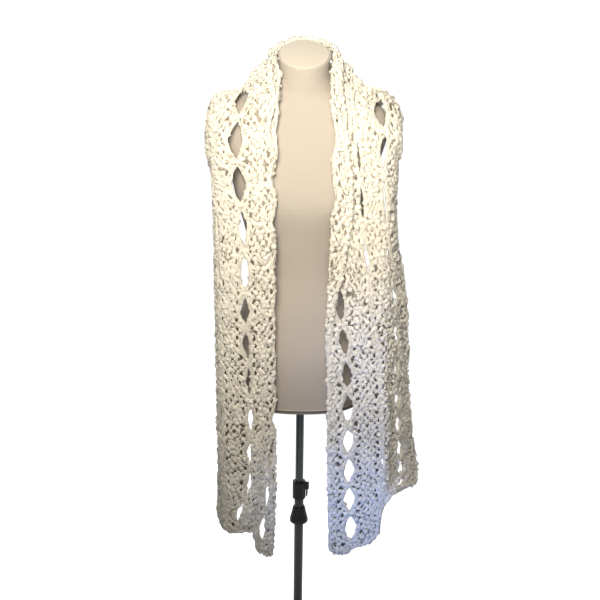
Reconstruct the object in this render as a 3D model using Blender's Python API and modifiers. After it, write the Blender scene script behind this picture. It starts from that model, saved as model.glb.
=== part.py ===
"""Crochet lace scarf draped on a limbless dress form with a telescopic stand.

Units are metres and +Z is up. The origin is the centre of the base plate's underside, on the floor.
+X is the viewer's right and the front of the form faces -Y.

The scarf is one long strip. A place on it has two coordinates: pitch number k, counted along the
scarf from the nape of the neck (negative towards the left hem, positive towards the right hem),
and u, the distance across the scarf from its inner edge.
"""
import math

import bmesh
import bpy
import numpy as np
from mathutils import Vector
from mathutils.bvhtree import BVHTree

# Stand
BASE_RADIUS = 0.150
BASE_THICKNESS = 0.008
BOSS_RADIUS = 0.020
BOSS_TOP = 0.026
TUBE_RADIUS = 0.0115
TUBE_BORE = 0.0103
TUBE_TOP = 0.489
MAST_RADIUS = 0.0100
MAST_BORE = 0.0088
MAST_BOTTOM = 0.250
MAST_TOP = 0.7350
GAP = 0.0003
HUB_BOTTOM = 0.3875
HUB_TOP = 0.430
HUB_TOP_RADIUS = 0.0150
HUB_FLARE_RADIUS = 0.0230
COLLAR_BOTTOM = 0.454
COLLAR_TOP = 0.502
COLLAR_RADIUS = 0.0164
LEVER_PIVOT_X = 0.0212
LEVER_PIVOT_Z = 0.4885
LEVER_BARREL = 0.0038
LEVER_HALF_WIDTH = 0.0055
EAR_THICKNESS = 0.0022
TURNED_STEPS = 28

# Dress form
BOARD_BOTTOM = 0.7382
BOARD_TOP = 0.7442
BOARD_INSET = 0.0015
SOCKET_BOTTOM = 0.700
SOCKET_RADIUS = 0.0165
FORM_BOTTOM = 0.7445
FORM_SIDES = 40
FORM_RINGS = 27
NECK_TILT = 0.45
CAP_GAP = 0.0003
CAP_THICKNESS = 0.0035
CAP_DOME = 0.0030
CAP_INSET = 0.0010

# z, half width, half depth, centre y, squareness, share of the neck tilt
FORM_SECTIONS = (
    (0.7445, 0.1500, 0.1060, 0.0000, 2.25, 0.0),
    (0.8000, 0.1600, 0.1120, 0.0000, 2.25, 0.0),
    (0.8700, 0.1640, 0.1150, 0.0000, 2.20, 0.0),
    (0.9700, 0.1400, 0.0990, 0.0000, 2.15, 0.0),
    (1.0600, 0.1140, 0.0870, 0.0000, 2.10, 0.0),
    (1.1500, 0.1280, 0.0960, -0.0030, 2.15, 0.0),
    (1.2400, 0.1500, 0.1090, -0.0070, 2.50, 0.0),
    (1.3200, 0.1690, 0.1010, -0.0005, 2.80, 0.0),
    (1.3800, 0.1860, 0.0870, 0.0040, 2.85, 0.0),
    (1.4120, 0.1880, 0.0790, 0.0050, 2.65, 0.0),
    (1.4370, 0.1720, 0.0710, 0.0040, 2.35, 0.1),
    (1.4580, 0.1350, 0.0630, 0.0030, 2.15, 0.2),
    (1.4780, 0.0830, 0.0575, 0.0020, 2.00, 0.5),
    (1.5050, 0.0600, 0.0550, 0.0000, 2.00, 0.8),
    (1.5485, 0.0550, 0.0545, 0.0000, 2.00, 1.0),
)
BUST_HEIGHT = 1.235
BUST_X = 0.070
BUST_RISE = 0.006
BUST_SPREAD = 0.050

# Scarf
WALL = 0.0050
FOLD_RADIUS = 0.0065
CLEARANCE = 0.0062
HEM_LEFT = -14.30
HEM_RIGHT = 14.30
SEAM_LEFT = -2.0
SEAM_RIGHT = 2.0
SEAM_HALF_GAP = 0.00040
KNOT_HALF = 0.14
MID_HALF = 0.08
EYELET_HALF = 0.068
SCALLOP = 0.0030
CELL = 0.004
REACH = 0.330

# Strips across the scarf from the inner edge: start, end at the widest part of a diamond
STRIP_A = (0.000, 0.032)
STRIP_B = (0.059, 0.119)
STRIP_C = (0.146, 0.202)
STRIP_D = (0.229, 0.279)
DIAMOND_CENTRES = (0.0455, 0.1325, 0.2155)
DIAMOND_HALF = 0.0140
KNOT_HALF_WIDTH = 0.0040
WIDTH = 0.279

# Lines across each strip as shares of its width; the eyelets lie between the two marked lines
STRIP_LINES = (
    (0.0, 0.27, 0.54, 0.79, 1.0),
    (0.0, 0.12, 0.27, 0.73, 0.88, 1.0),
    (0.0, 0.12, 0.27, 0.73, 0.88, 1.0),
    (0.0, 0.16, 0.36, 0.70, 1.0),
)
STRIP_EYELETS = ((2,), (1, 3), (1, 3), (1,))

# One row per rib of the drape. k: pitch number. turn: width of cloth turned back at the inner
# edge. inner, outer: share of the cloth's width taken up before and after the second diamond.
# f, p, c, b: points at the inner fold, mid front, corner and outer edge. crisp: sharpness at c.
RIB_COLUMNS = ("k", "turn", "inner", "outer", "fx", "fy", "fz", "px", "py", "pz",
               "cx", "cy", "cz", "bx", "by", "bz", "crisp")
RIBS = (
    (-14.3, 0.001, 0.74, 1.03, -0.064, -0.128, 0.416, -0.100, -0.138, 0.452,
     -0.178, -0.134, 0.430, -0.196, -0.048, 0.416, 1.3),
    (-13.5, 0.001, 0.66, 1.03, -0.061, -0.130, 0.477, -0.106, -0.140, 0.498,
     -0.179, -0.135, 0.494, -0.197, -0.044, 0.482, 1.3),
    (-12.5, 0.009, 0.50, 1.03, -0.058, -0.132, 0.560, -0.112, -0.141, 0.578,
     -0.180, -0.136, 0.571, -0.198, -0.040, 0.560, 1.3),
    (-11.5, 0.030, 0.60, 1.03, -0.057, -0.133, 0.652, -0.120, -0.141, 0.656,
     -0.181, -0.136, 0.653, -0.199, -0.036, 0.645, 1.3),
    (-10.5, 0.048, 0.71, 1.03, -0.058, -0.135, 0.744, -0.124, -0.142, 0.746,
     -0.182, -0.136, 0.742, -0.200, -0.032, 0.735, 1.3),
    (-8.5, 0.054, 0.83, 1.00, -0.060, -0.137, 0.925, -0.130, -0.143, 0.926,
     -0.184, -0.137, 0.922, -0.199, -0.027, 0.915, 1.3),
    (-6.5, 0.052, 0.84, 0.80, -0.060, -0.139, 1.103, -0.130, -0.138, 1.095,
     -0.190, -0.129, 1.092, -0.197, -0.022, 1.090, 1.2),
    (-5.5, 0.050, 0.88, 0.76, -0.060, -0.140, 1.210, -0.130, -0.132, 1.197,
     -0.194, -0.121, 1.193, -0.196, -0.018, 1.172, 1.1),
    (-4.5, 0.046, 0.93, 0.85, -0.0585, -0.133, 1.308, -0.128, -0.121, 1.287,
     -0.200, -0.113, 1.293, -0.197, -0.012, 1.285, 1.0),
    (-3.5, 0.040, 0.98, 1.00, -0.0590, -0.108, 1.412, -0.122, -0.099, 1.380,
     -0.208, -0.094, 1.378, -0.203, -0.014, 1.305, 1.0),
    (-2.5, 0.036, 0.99, 1.06, -0.0550, -0.046, 1.514, -0.112, -0.046, 1.458,
     -0.215, -0.048, 1.450, -0.210, -0.026, 1.330, 1.0),
    (-1.8, 0.026, 1.00, 1.08, -0.0670, 0.004, 1.550, -0.114, 0.010, 1.474,
     -0.219, 0.026, 1.456, -0.207, 0.044, 1.325, 1.0),
    (-1.0, 0.010, 1.03, 1.00, -0.053, 0.051, 1.568, -0.082, 0.062, 1.480,
     -0.128, 0.098, 1.430, -0.138, 0.117, 1.290, 1.0),
    (0.0, 0.000, 1.00, 1.00, 0.000, 0.076, 1.578, 0.000, 0.066, 1.490,
     0.000, 0.088, 1.400, 0.000, 0.130, 1.290, 1.0),
    (1.0, 0.000, 0.96, 1.00, 0.053, 0.051, 1.568, 0.082, 0.062, 1.478,
     0.128, 0.098, 1.430, 0.140, 0.117, 1.290, 1.0),
    (1.8, 0.010, 0.80, 1.00, 0.067, 0.004, 1.550, 0.112, 0.010, 1.478,
     0.224, 0.026, 1.459, 0.213, 0.044, 1.325, 1.0),
    (2.5, 0.026, 0.72, 1.10, 0.0560, -0.048, 1.508, 0.106, -0.055, 1.446,
     0.220, -0.062, 1.430, 0.217, -0.026, 1.325, 1.0),
    (3.5, 0.042, 0.92, 1.10, 0.0600, -0.112, 1.396, 0.118, -0.108, 1.332,
     0.208, -0.102, 1.377, 0.212, -0.016, 1.296, 1.0),
    (4.5, 0.045, 0.92, 1.06, 0.062, -0.135, 1.276, 0.125, -0.126, 1.243,
     0.202, -0.118, 1.275, 0.212, -0.010, 1.232, 1.0),
    (5.5, 0.034, 0.91, 1.06, 0.0617, -0.140, 1.158, 0.130, -0.135, 1.137,
     0.197, -0.130, 1.141, 0.224, -0.018, 1.130, 1.2),
    (6.5, 0.016, 0.93, 1.14, 0.0585, -0.141, 1.027, 0.130, -0.146, 1.030,
     0.189, -0.144, 1.052, 0.240, -0.026, 1.020, 1.8),
    (7.5, 0.003, 0.92, 1.14, 0.058, -0.141, 0.933, 0.130, -0.146, 0.944,
     0.188, -0.147, 0.962, 0.250, -0.030, 0.905, 3.0),
    (8.5, 0.000, 0.98, 1.03, 0.0617, -0.141, 0.850, 0.140, -0.147, 0.868,
     0.191, -0.150, 0.876, 0.255, -0.032, 0.828, 5.0),
    (10.5, 0.000, 1.07, 1.00, 0.0657, -0.141, 0.680, 0.140, -0.147, 0.702,
     0.199, -0.154, 0.720, 0.268, -0.031, 0.712, 9.0),
    (12.5, 0.000, 1.13, 1.08, 0.071, -0.140, 0.524, 0.145, -0.147, 0.552,
     0.205, -0.155, 0.590, 0.288, -0.027, 0.606, 10.0),
    (14.3, 0.000, 1.18, 1.14, 0.075, -0.139, 0.440, 0.150, -0.146, 0.434,
     0.218, -0.155, 0.560, 0.324, -0.016, 0.530, 10.0),
)

# Largest soft folds. k0, k1: first and last pitch. u: distance across. half: half width. rise: height
FOLD_COLUMNS = ("k0", "k1", "u", "half", "rise")
FOLDS = (
    (-14.6, -10.6, 0.096, 0.017, 0.0110),
    (-13.0, -4.0, 0.172, 0.018, -0.0050),
    (-9.5, -4.2, 0.096, 0.016, 0.0050),
    (-3.7, -1.0, 0.034, 0.014, 0.0100),
    (-3.5, -0.8, 0.090, 0.016, 0.0110),
    (-3.2, -1.4, 0.190, 0.020, 0.0040),
    (-2.4, 2.4, 0.060, 0.022, 0.0050),
    (-2.2, 2.2, 0.150, 0.024, -0.0060),
    (-2.0, 2.0, 0.220, 0.022, 0.0050),
    (0.9, 3.3, 0.078, 0.014, 0.0050),
    (1.0, 3.6, 0.115, 0.015, 0.0040),
    (1.0, 5.0, 0.178, 0.016, 0.0045),
    (4.6, 8.6, 0.100, 0.015, 0.0060),
    (8.0, 14.6, 0.180, 0.022, -0.0050),
)

# Cloth drawn together. k0, k1: pitches. u0, u1: part of the width. share: what is left of it
SQUEEZE_COLUMNS = ("k0", "k1", "u0", "u1", "share")
SQUEEZES = (
    (-14.9, -8.0, 0.119, 0.146, 0.70),
    (-14.9, -7.2, 0.200, 0.231, 0.40),
    (-5.4, -2.0, 0.117, 0.148, 1.30),
    (1.4, 3.6, 0.119, 0.146, 0.35),
    (2.8, 6.2, 0.117, 0.148, 0.42),
    (5.6, 8.2, 0.117, 0.148, 0.14),
    (1.4, 6.0, 0.146, 0.202, 0.66),
    (2.9, 6.6, 0.200, 0.231, 0.45),
    (7.6, 14.9, 0.117, 0.148, 0.18),
)

# Ends that hang lower. k0: where the drop starts. k1: hem. u0, u1: end of the drop across. drop: depth
SAG_COLUMNS = ("k0", "k1", "u0", "u1", "drop")
SAGS = (
    (-10.6, -14.3, 0.058, 0.074, 0.056),
    (-13.2, -14.3, 0.000, 0.020, -0.014),
    (12.2, 14.3, 0.121, 0.144, 0.056),
    (13.6, 14.3, 0.000, 0.012, -0.012),
)

# Finishes
FINISHES = {
    "stand_paint": ((0.060, 0.062, 0.068), 0.38, 0.60),
    "mast_metal": ((0.120, 0.125, 0.135), 0.30, 0.90),
    "clamp_plastic": ((0.018, 0.018, 0.020), 0.45, 0.00),
    "form_jersey": ((0.800, 0.780, 0.750), 0.85, 0.00),
    "form_board": ((0.500, 0.490, 0.475), 0.60, 0.00),
    "cap_jersey": ((0.830, 0.815, 0.790), 0.80, 0.00),
    "scarf_yarn": ((0.860, 0.840, 0.800), 0.90, 0.00),
}


# Helpers
def clear_scene():
    """Remove everything that the default scene holds."""
    for item in list(bpy.data.objects):
        bpy.data.objects.remove(item, do_unlink=True)
    for group in list(bpy.data.collections):
        bpy.data.collections.remove(group)


def make_materials():
    """One plain Principled material for each finish."""
    made = {}
    for name, (colour, roughness, metallic) in FINISHES.items():
        material = bpy.data.materials.new(name)
        material.use_nodes = True
        shader = material.node_tree.nodes["Principled BSDF"]
        shader.inputs["Base Color"].default_value = (*colour, 1.0)
        shader.inputs["Roughness"].default_value = roughness
        shader.inputs["Metallic"].default_value = metallic
        material.diffuse_color = (*colour, 1.0)
        made[name] = material
    return made


def finish_object(name, mesh, material, collection, smooth=True):
    """Put a finished mesh into the scene under its name, with its faces turned outward."""
    work = bmesh.new()
    work.from_mesh(mesh)
    bmesh.ops.remove_doubles(work, verts=work.verts, dist=0.00001)
    bmesh.ops.recalc_face_normals(work, faces=work.faces)
    if work.calc_volume(signed=True) < 0.0:
        bmesh.ops.reverse_faces(work, faces=work.faces)
    for face in work.faces:
        face.smooth = smooth
    work.to_mesh(mesh)
    work.free()
    mesh.name = name
    mesh.materials.clear()
    mesh.materials.append(material)
    item = bpy.data.objects.new(name, mesh)
    collection.objects.link(item)
    return item


def applied_mesh(item):
    """The mesh that an object's modifiers make; the object itself is removed."""
    bpy.context.view_layer.update()
    depsgraph = bpy.context.evaluated_depsgraph_get()
    mesh = bpy.data.meshes.new_from_object(item.evaluated_get(depsgraph))
    bpy.data.objects.remove(item, do_unlink=True)
    return mesh


def turned(name, profile, closed, material, collection, steps=TURNED_STEPS):
    """A turned solid from a profile of (radius, height) points."""
    mesh = bpy.data.meshes.new(name + "_profile")
    count = len(profile)
    edges = [(i, i + 1) for i in range(count - 1)]
    if closed:
        edges.append((count - 1, 0))
    mesh.from_pydata([(r, 0.0, z) for r, z in profile], edges, [])
    item = bpy.data.objects.new(name + "_work", mesh)
    collection.objects.link(item)
    screw = item.modifiers.new("turn", "SCREW")
    screw.axis = "Z"
    screw.angle = math.tau
    screw.steps = steps
    screw.render_steps = steps
    screw.use_merge_vertices = True
    screw.merge_threshold = 0.00001
    return finish_object(name, applied_mesh(item), material, collection)


def smooth_table(rows, at):
    """Values of a table at given keys: cubic pieces through its rows, first column the key."""
    table = np.array(rows, dtype=float)
    key = table[:, 0]
    value = table[:, 1:]
    step = np.diff(key)[:, None]
    slope = np.diff(value, axis=0) / step
    tangent = np.empty_like(value)
    tangent[0] = slope[0]
    tangent[-1] = slope[-1]
    tangent[1:-1] = (slope[:-1] * step[1:] + slope[1:] * step[:-1]) / (step[1:] + step[:-1])
    at = np.asarray(at, dtype=float)
    place = np.clip(np.searchsorted(key, at, side="right") - 1, 0, len(key) - 2)
    width = step[place]
    q = ((at - key[place])[:, None]) / width
    return ((2 * q**3 - 3 * q**2 + 1) * value[place] + (q**3 - 2 * q**2 + q) * width * tangent[place]
            + (-2 * q**3 + 3 * q**2) * value[place + 1] + (q**3 - q**2) * width * tangent[place + 1])


def window(k, k0, k1, end=0.8):
    """One between two pitches and nothing outside them, with soft ends."""
    share = np.clip((k - k0) / end, 0.0, 1.0) * np.clip((k1 - k) / end, 0.0, 1.0)
    return share * share * (3.0 - 2.0 * share)


# Dress form
def form_points():
    """Rings of the form, as an array of rings by sides by three."""
    first = FORM_SECTIONS[0][0]
    last = FORM_SECTIONS[-1][0]
    share = np.linspace(0.0, 1.0, FORM_RINGS)
    heights = first + (last - first) * (share + 0.055 * np.sin(math.tau * share) * (share - 1.0)
                                        + 0.10 * np.sin(math.pi * share) * share)
    section = smooth_table(FORM_SECTIONS, heights)
    half_w, half_d, centre, square, tilt = (section[:, i][:, None] for i in range(5))
    angle = (np.arange(FORM_SIDES) * math.tau / FORM_SIDES)[None, :]
    cosine = np.cos(angle)
    sine = np.sin(angle)
    x = half_w * np.sign(cosine) * np.abs(cosine) ** (2.0 / square)
    y = centre + half_d * np.sign(sine) * np.abs(sine) ** (2.0 / square)
    z = heights[:, None] + NECK_TILT * tilt * y
    front = np.clip(-sine, 0.0, 1.0)
    lift = np.exp(-((np.abs(x) - BUST_X) / BUST_SPREAD) ** 2 - ((z - BUST_HEIGHT) / BUST_SPREAD) ** 2)
    y = y - BUST_RISE * lift * front
    return np.stack([x, y, z], axis=-1)


def loft(name, rings, material, collection):
    """A closed solid through rings with the same number of points, capped at both ends."""
    count, sides = rings.shape[:2]
    faces = []
    for i in range(count - 1):
        for j in range(sides):
            k = (j + 1) % sides
            faces.append((i * sides + j, i * sides + k, (i + 1) * sides + k, (i + 1) * sides + j))
    faces.append(tuple(range(sides - 1, -1, -1)))
    faces.append(tuple(range((count - 1) * sides, count * sides)))
    mesh = bpy.data.meshes.new(name)
    mesh.from_pydata([tuple(p) for p in rings.reshape(-1, 3)], [], faces)
    return finish_object(name, mesh, material, collection)


def board_rings(bottom_ring, bottom, top, inset):
    """Two rings that follow the form's lowest section, a little smaller."""
    shrunk = bottom_ring * np.array([1.0 - inset / 0.150, 1.0 - inset / 0.106, 1.0])
    low = shrunk.copy()
    high = shrunk.copy()
    low[:, 2] = bottom
    high[:, 2] = top
    return np.stack([low, high])


def build_form(materials, collection):
    """The form's body, its underside board with the swivel socket, and the neck cap."""
    rings = form_points()
    body = loft("form_body", rings, materials["form_jersey"], collection)
    board = loft("form_board_work", board_rings(rings[0], BOARD_BOTTOM, BOARD_TOP, BOARD_INSET),
                 materials["form_board"], collection)
    socket = turned("socket_work", (
        (0.0, SOCKET_BOTTOM), (SOCKET_RADIUS, SOCKET_BOTTOM), (SOCKET_RADIUS, 0.7330),
        (0.030, 0.7360), (0.030, 0.7412), (0.0, 0.7412),
    ), False, materials["form_board"], collection)
    bore = turned("socket_bore", (
        (0.0, SOCKET_BOTTOM - 0.01), (MAST_RADIUS + GAP, SOCKET_BOTTOM - 0.01),
        (MAST_RADIUS + GAP, MAST_TOP + GAP), (0.0, MAST_TOP + GAP),
    ), False, materials["form_board"], collection)
    for tool, operation in ((socket, "UNION"), (bore, "DIFFERENCE")):
        cut = board.modifiers.new(operation.lower(), "BOOLEAN")
        cut.operation = operation
        cut.solver = "EXACT"
        cut.object = tool
    mesh = applied_mesh(board)
    bpy.data.objects.remove(socket, do_unlink=True)
    bpy.data.objects.remove(bore, do_unlink=True)
    finish_object("form_base", mesh, materials["form_board"], collection, smooth=False)

    top = rings[-1]
    middle = top.mean(axis=0)
    slope = math.atan(NECK_TILT)
    up = np.array([0.0, -math.sin(slope), math.cos(slope)])
    layers = []
    radius = 0.0545
    for inset, rise in ((CAP_INSET, CAP_GAP), (CAP_INSET, CAP_THICKNESS * 0.6),
                        (CAP_INSET + 0.0014, CAP_THICKNESS), (0.016, CAP_THICKNESS + CAP_DOME * 0.50),
                        (0.036, CAP_THICKNESS + CAP_DOME * 0.90), (0.0500, CAP_THICKNESS + CAP_DOME)):
        layers.append(middle + (top - middle) * (1.0 - inset / radius) + up * rise)
    loft("neck_cap", np.stack(layers), materials["cap_jersey"], collection)
    return body


# Scarf
class Drape:
    """The middle surface of the scarf as a function of pitch number and distance across."""

    def __init__(self, form):
        self.k = np.linspace(HEM_LEFT - 0.1, HEM_RIGHT + 0.1, 577)
        self.t = np.arange(0.0, REACH, CELL)
        table = smooth_table(RIBS, self.k)
        self.turn = np.clip(table[:, 0], 0.0, None)
        self.inner = table[:, 1]
        self.outer = table[:, 2]
        fold, front, corner, edge = (table[:, 3 + 3 * i: 6 + 3 * i] for i in range(4))
        crisp = table[:, 15][:, None, None]
        half = 0.5 * (front + corner)
        q = np.linspace(0.0, 1.0, 33)[None, :, None]
        first = ((1 - q) ** 2 * fold[:, None] + 2 * q * (1 - q) * front[:, None] + q**2 * half[:, None])
        low = (1 - q) ** 2 + 2 * crisp * q * (1 - q) + q**2
        second = ((1 - q) ** 2 * half[:, None] + 2 * crisp * q * (1 - q) * corner[:, None]
                  + q**2 * edge[:, None]) / low
        path = np.concatenate([first, second[:, 1:]], axis=1)
        self.points = np.empty((len(self.k), len(self.t), 3))
        for i, line in enumerate(path):
            run = np.concatenate([[0.0], np.cumsum(np.linalg.norm(np.diff(line, axis=0), axis=1))])
            for axis in range(3):
                self.points[i, :, axis] = np.interp(self.t, run, line[:, axis])
            past = np.clip(self.t - run[-1], 0.0, None)[:, None]
            self.points[i] += past * (line[-1] - line[-2]) / np.linalg.norm(line[-1] - line[-2])
        along = np.gradient(self.points, self.k, axis=0)
        across = np.gradient(self.points, self.t, axis=1)
        normal = np.cross(along, across)
        self.normal = normal / np.linalg.norm(normal, axis=-1, keepdims=True)
        self.speed = np.linalg.norm(along, axis=-1)
        work = bmesh.new()
        work.from_mesh(form.data)
        self.tree = BVHTree.FromBMesh(work)
        work.free()

    def sample(self, grid, k, t):
        """Bilinear reading of a grid kept by pitch and distance along a rib."""
        i = np.clip((k - self.k[0]) / (self.k[1] - self.k[0]), 0.0, len(self.k) - 1.001)
        j = np.clip(t / CELL, 0.0, len(self.t) - 1.001)
        i0 = i.astype(int)
        j0 = j.astype(int)
        a = i - i0
        b = j - j0
        if grid.ndim == 3:
            a = a[..., None]
            b = b[..., None]
        return ((1 - a) * (1 - b) * grid[i0, j0] + a * (1 - b) * grid[i0 + 1, j0]
                + (1 - a) * b * grid[i0, j0 + 1] + a * b * grid[i0 + 1, j0 + 1])

    def rib_value(self, values, k):
        """A column of the rib table at given pitches."""
        return np.interp(k, self.k, values)

    def place(self, k, u):
        """Distance along the rib and height off it, for cloth that may be turned back."""
        turn = self.rib_value(self.turn, k)
        inner = self.rib_value(self.inner, k)
        outer = self.rib_value(self.outer, k)
        side = np.where(k > 0.0, 1.0, -1.0)
        radius = FOLD_RADIUS * np.clip(turn / 0.02, 0.0, 1.0)
        radius = np.maximum(radius, 0.00001)
        quarter = 0.5 * math.pi * radius
        beyond = np.abs(u - turn)
        front = u >= turn
        angle = np.clip(beyond / radius, 0.0, 0.5 * math.pi)
        lean = 1.0 - np.sin(angle)
        centre = DIAMOND_CENTRES[1]
        flat = np.minimum(beyond, np.maximum(centre - turn, 0.0))
        rest = beyond - flat
        flat = np.maximum(flat - quarter, 0.0) * inner + rest * outer
        for k0, k1, u0, u1, share in SQUEEZES:
            drawn = (1.0 - share) * window(k, k0, k1) * np.clip(u - u0, 0.0, u1 - u0)
            flat = flat - np.where(front, drawn, 0.0)
        distance = radius * (1.0 - np.cos(angle)) + np.where(front, flat, np.maximum(beyond - quarter, 0.0))
        height = side * radius * np.where(front, lean, 2.0 - lean)
        return distance, height, front

    def folds(self, k, u):
        """Height of the largest soft folds."""
        total = np.zeros_like(u)
        for k0, k1, centre, half, rise in FOLDS:
            drift = centre + 0.004 * np.sin(1.3 * k + 40.0 * centre)
            total += rise * window(k, k0, k1) * np.exp(-((u - drift) / half) ** 2)
        return total

    def sag(self, k, u):
        """How far the ends drop: a power of the pitch, cut off softly across."""
        total = np.zeros_like(u)
        for k0, k1, u0, u1, drop in SAGS:
            share = np.clip((u - u0) / (u1 - u0), 0.0, 1.0)
            fade = 1.0 - share * share * (3.0 - 2.0 * share)
            total += drop * np.clip((k0 - k) / (k0 - k1), 0.0, 1.1) ** 1.4 * fade
        return total

    def surface(self, k, u):
        """Points of the middle surface, kept clear of the form, and the outward normals."""
        distance, height, front = self.place(k, u)
        point = self.sample(self.points, k, distance)
        normal = self.sample(self.normal, k, distance)
        normal = normal / np.linalg.norm(normal, axis=-1, keepdims=True)
        turn = self.rib_value(self.turn, k)
        ridge = self.folds(k, np.where(front, u, 2.0 * turn - u))
        point = point + normal * (height + ridge)[..., None]
        point[..., 2] -= self.sag(k, u)
        flat = point.reshape(-1, 3)
        for index in range(len(flat)):
            found, outward, _, gap = self.tree.find_nearest(Vector(flat[index]))
            signed = (Vector(flat[index]) - found).dot(outward)
            if signed < 0.0 or gap < CLEARANCE:
                flat[index] = found + outward * CLEARANCE
        return flat.reshape(point.shape), normal


def column_lines(k):
    """Lines across the scarf at given pitches, with a mark for diamonds and eyelets."""
    near = np.abs(k - np.round(k))
    open_share = np.clip((near - KNOT_HALF) / (0.5 - MID_HALF - KNOT_HALF), 0.0, 1.0)
    half = KNOT_HALF_WIDTH + (DIAMOND_HALF - KNOT_HALF_WIDTH) * open_share
    swell = SCALLOP * np.clip(1.0 - near / 0.3, 0.0, 1.0)
    starts = (-swell, DIAMOND_CENTRES[0] + half, DIAMOND_CENTRES[1] + half, DIAMOND_CENTRES[2] + half)
    ends = (DIAMOND_CENTRES[0] - half, DIAMOND_CENTRES[1] - half, DIAMOND_CENTRES[2] - half, WIDTH + swell)
    lines = []
    marks = []
    for strip in range(4):
        shares = STRIP_LINES[strip]
        for j, share in enumerate(shares):
            lines.append(starts[strip] + (ends[strip] - starts[strip]) * share)
            if j < len(shares) - 1:
                marks.append("eyelet" if j in STRIP_EYELETS[strip] else "cloth")
        if strip < 3:
            marks.append("diamond")
    return np.stack(lines, axis=-1), marks


def row_lines(first, last):
    """Pitches of the lines along the scarf between two ends, and what each row between them is."""
    lines = [first]
    for knot in range(math.floor(first) - 1, math.ceil(last) + 2):
        for offset in (-KNOT_HALF, KNOT_HALF, 0.5 - MID_HALF, 0.5 + MID_HALF):
            place = knot + offset
            if first + 0.02 < place < last - 0.02:
                lines.append(place)
    lines.append(last)
    lines = np.array(lines)
    middle = 0.5 * (lines[1:] + lines[:-1])
    kinds = np.abs(middle - np.round(middle)) < KNOT_HALF
    return lines, kinds


def build_scarf(name, drape, first, last, seam_first, seam_last, material, collection):
    """One stretch of the scarf: a net of cells with its diamonds and eyelets left out."""
    lines, knots = row_lines(first, last)
    across, marks = column_lines(lines)
    k = np.repeat(lines[:, None], across.shape[1], axis=1)
    eyelets = [j for j, mark in enumerate(marks) if mark == "eyelet"]
    keep_ends = {0, len(lines) - 1}
    for i, line in enumerate(lines):
        near = line - round(line)
        if i in keep_ends or abs(abs(near) - KNOT_HALF) > 0.001:
            continue
        for j in eyelets:
            k[i, j: j + 2] = round(line) + math.copysign(EYELET_HALF, near)
    if seam_first:
        k[0] += SEAM_HALF_GAP / drape.sample(drape.speed, k[0], drape.place(k[0], across[0])[0])
    if seam_last:
        k[-1] -= SEAM_HALF_GAP / drape.sample(drape.speed, k[-1], drape.place(k[-1], across[-1])[0])
    points, _ = drape.surface(k, across)
    columns = across.shape[1]
    faces = []
    for i in range(len(lines) - 1):
        at_end = i == 0 or i == len(lines) - 2
        for j, mark in enumerate(marks):
            if mark == "diamond" and not knots[i]:
                continue
            if mark == "eyelet" and knots[i] and not at_end:
                continue
            faces.append((i * columns + j, i * columns + j + 1,
                          (i + 1) * columns + j + 1, (i + 1) * columns + j))
    mesh = bpy.data.meshes.new(name + "_net")
    mesh.from_pydata([tuple(p) for p in points.reshape(-1, 3)], [], faces)
    item = bpy.data.objects.new(name + "_work", mesh)
    collection.objects.link(item)
    wall = item.modifiers.new("wall", "SOLIDIFY")
    wall.thickness = WALL
    wall.offset = 0.0
    wall.use_even_offset = False
    wall.use_rim = True
    return finish_object(name, applied_mesh(item), material, collection)


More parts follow.
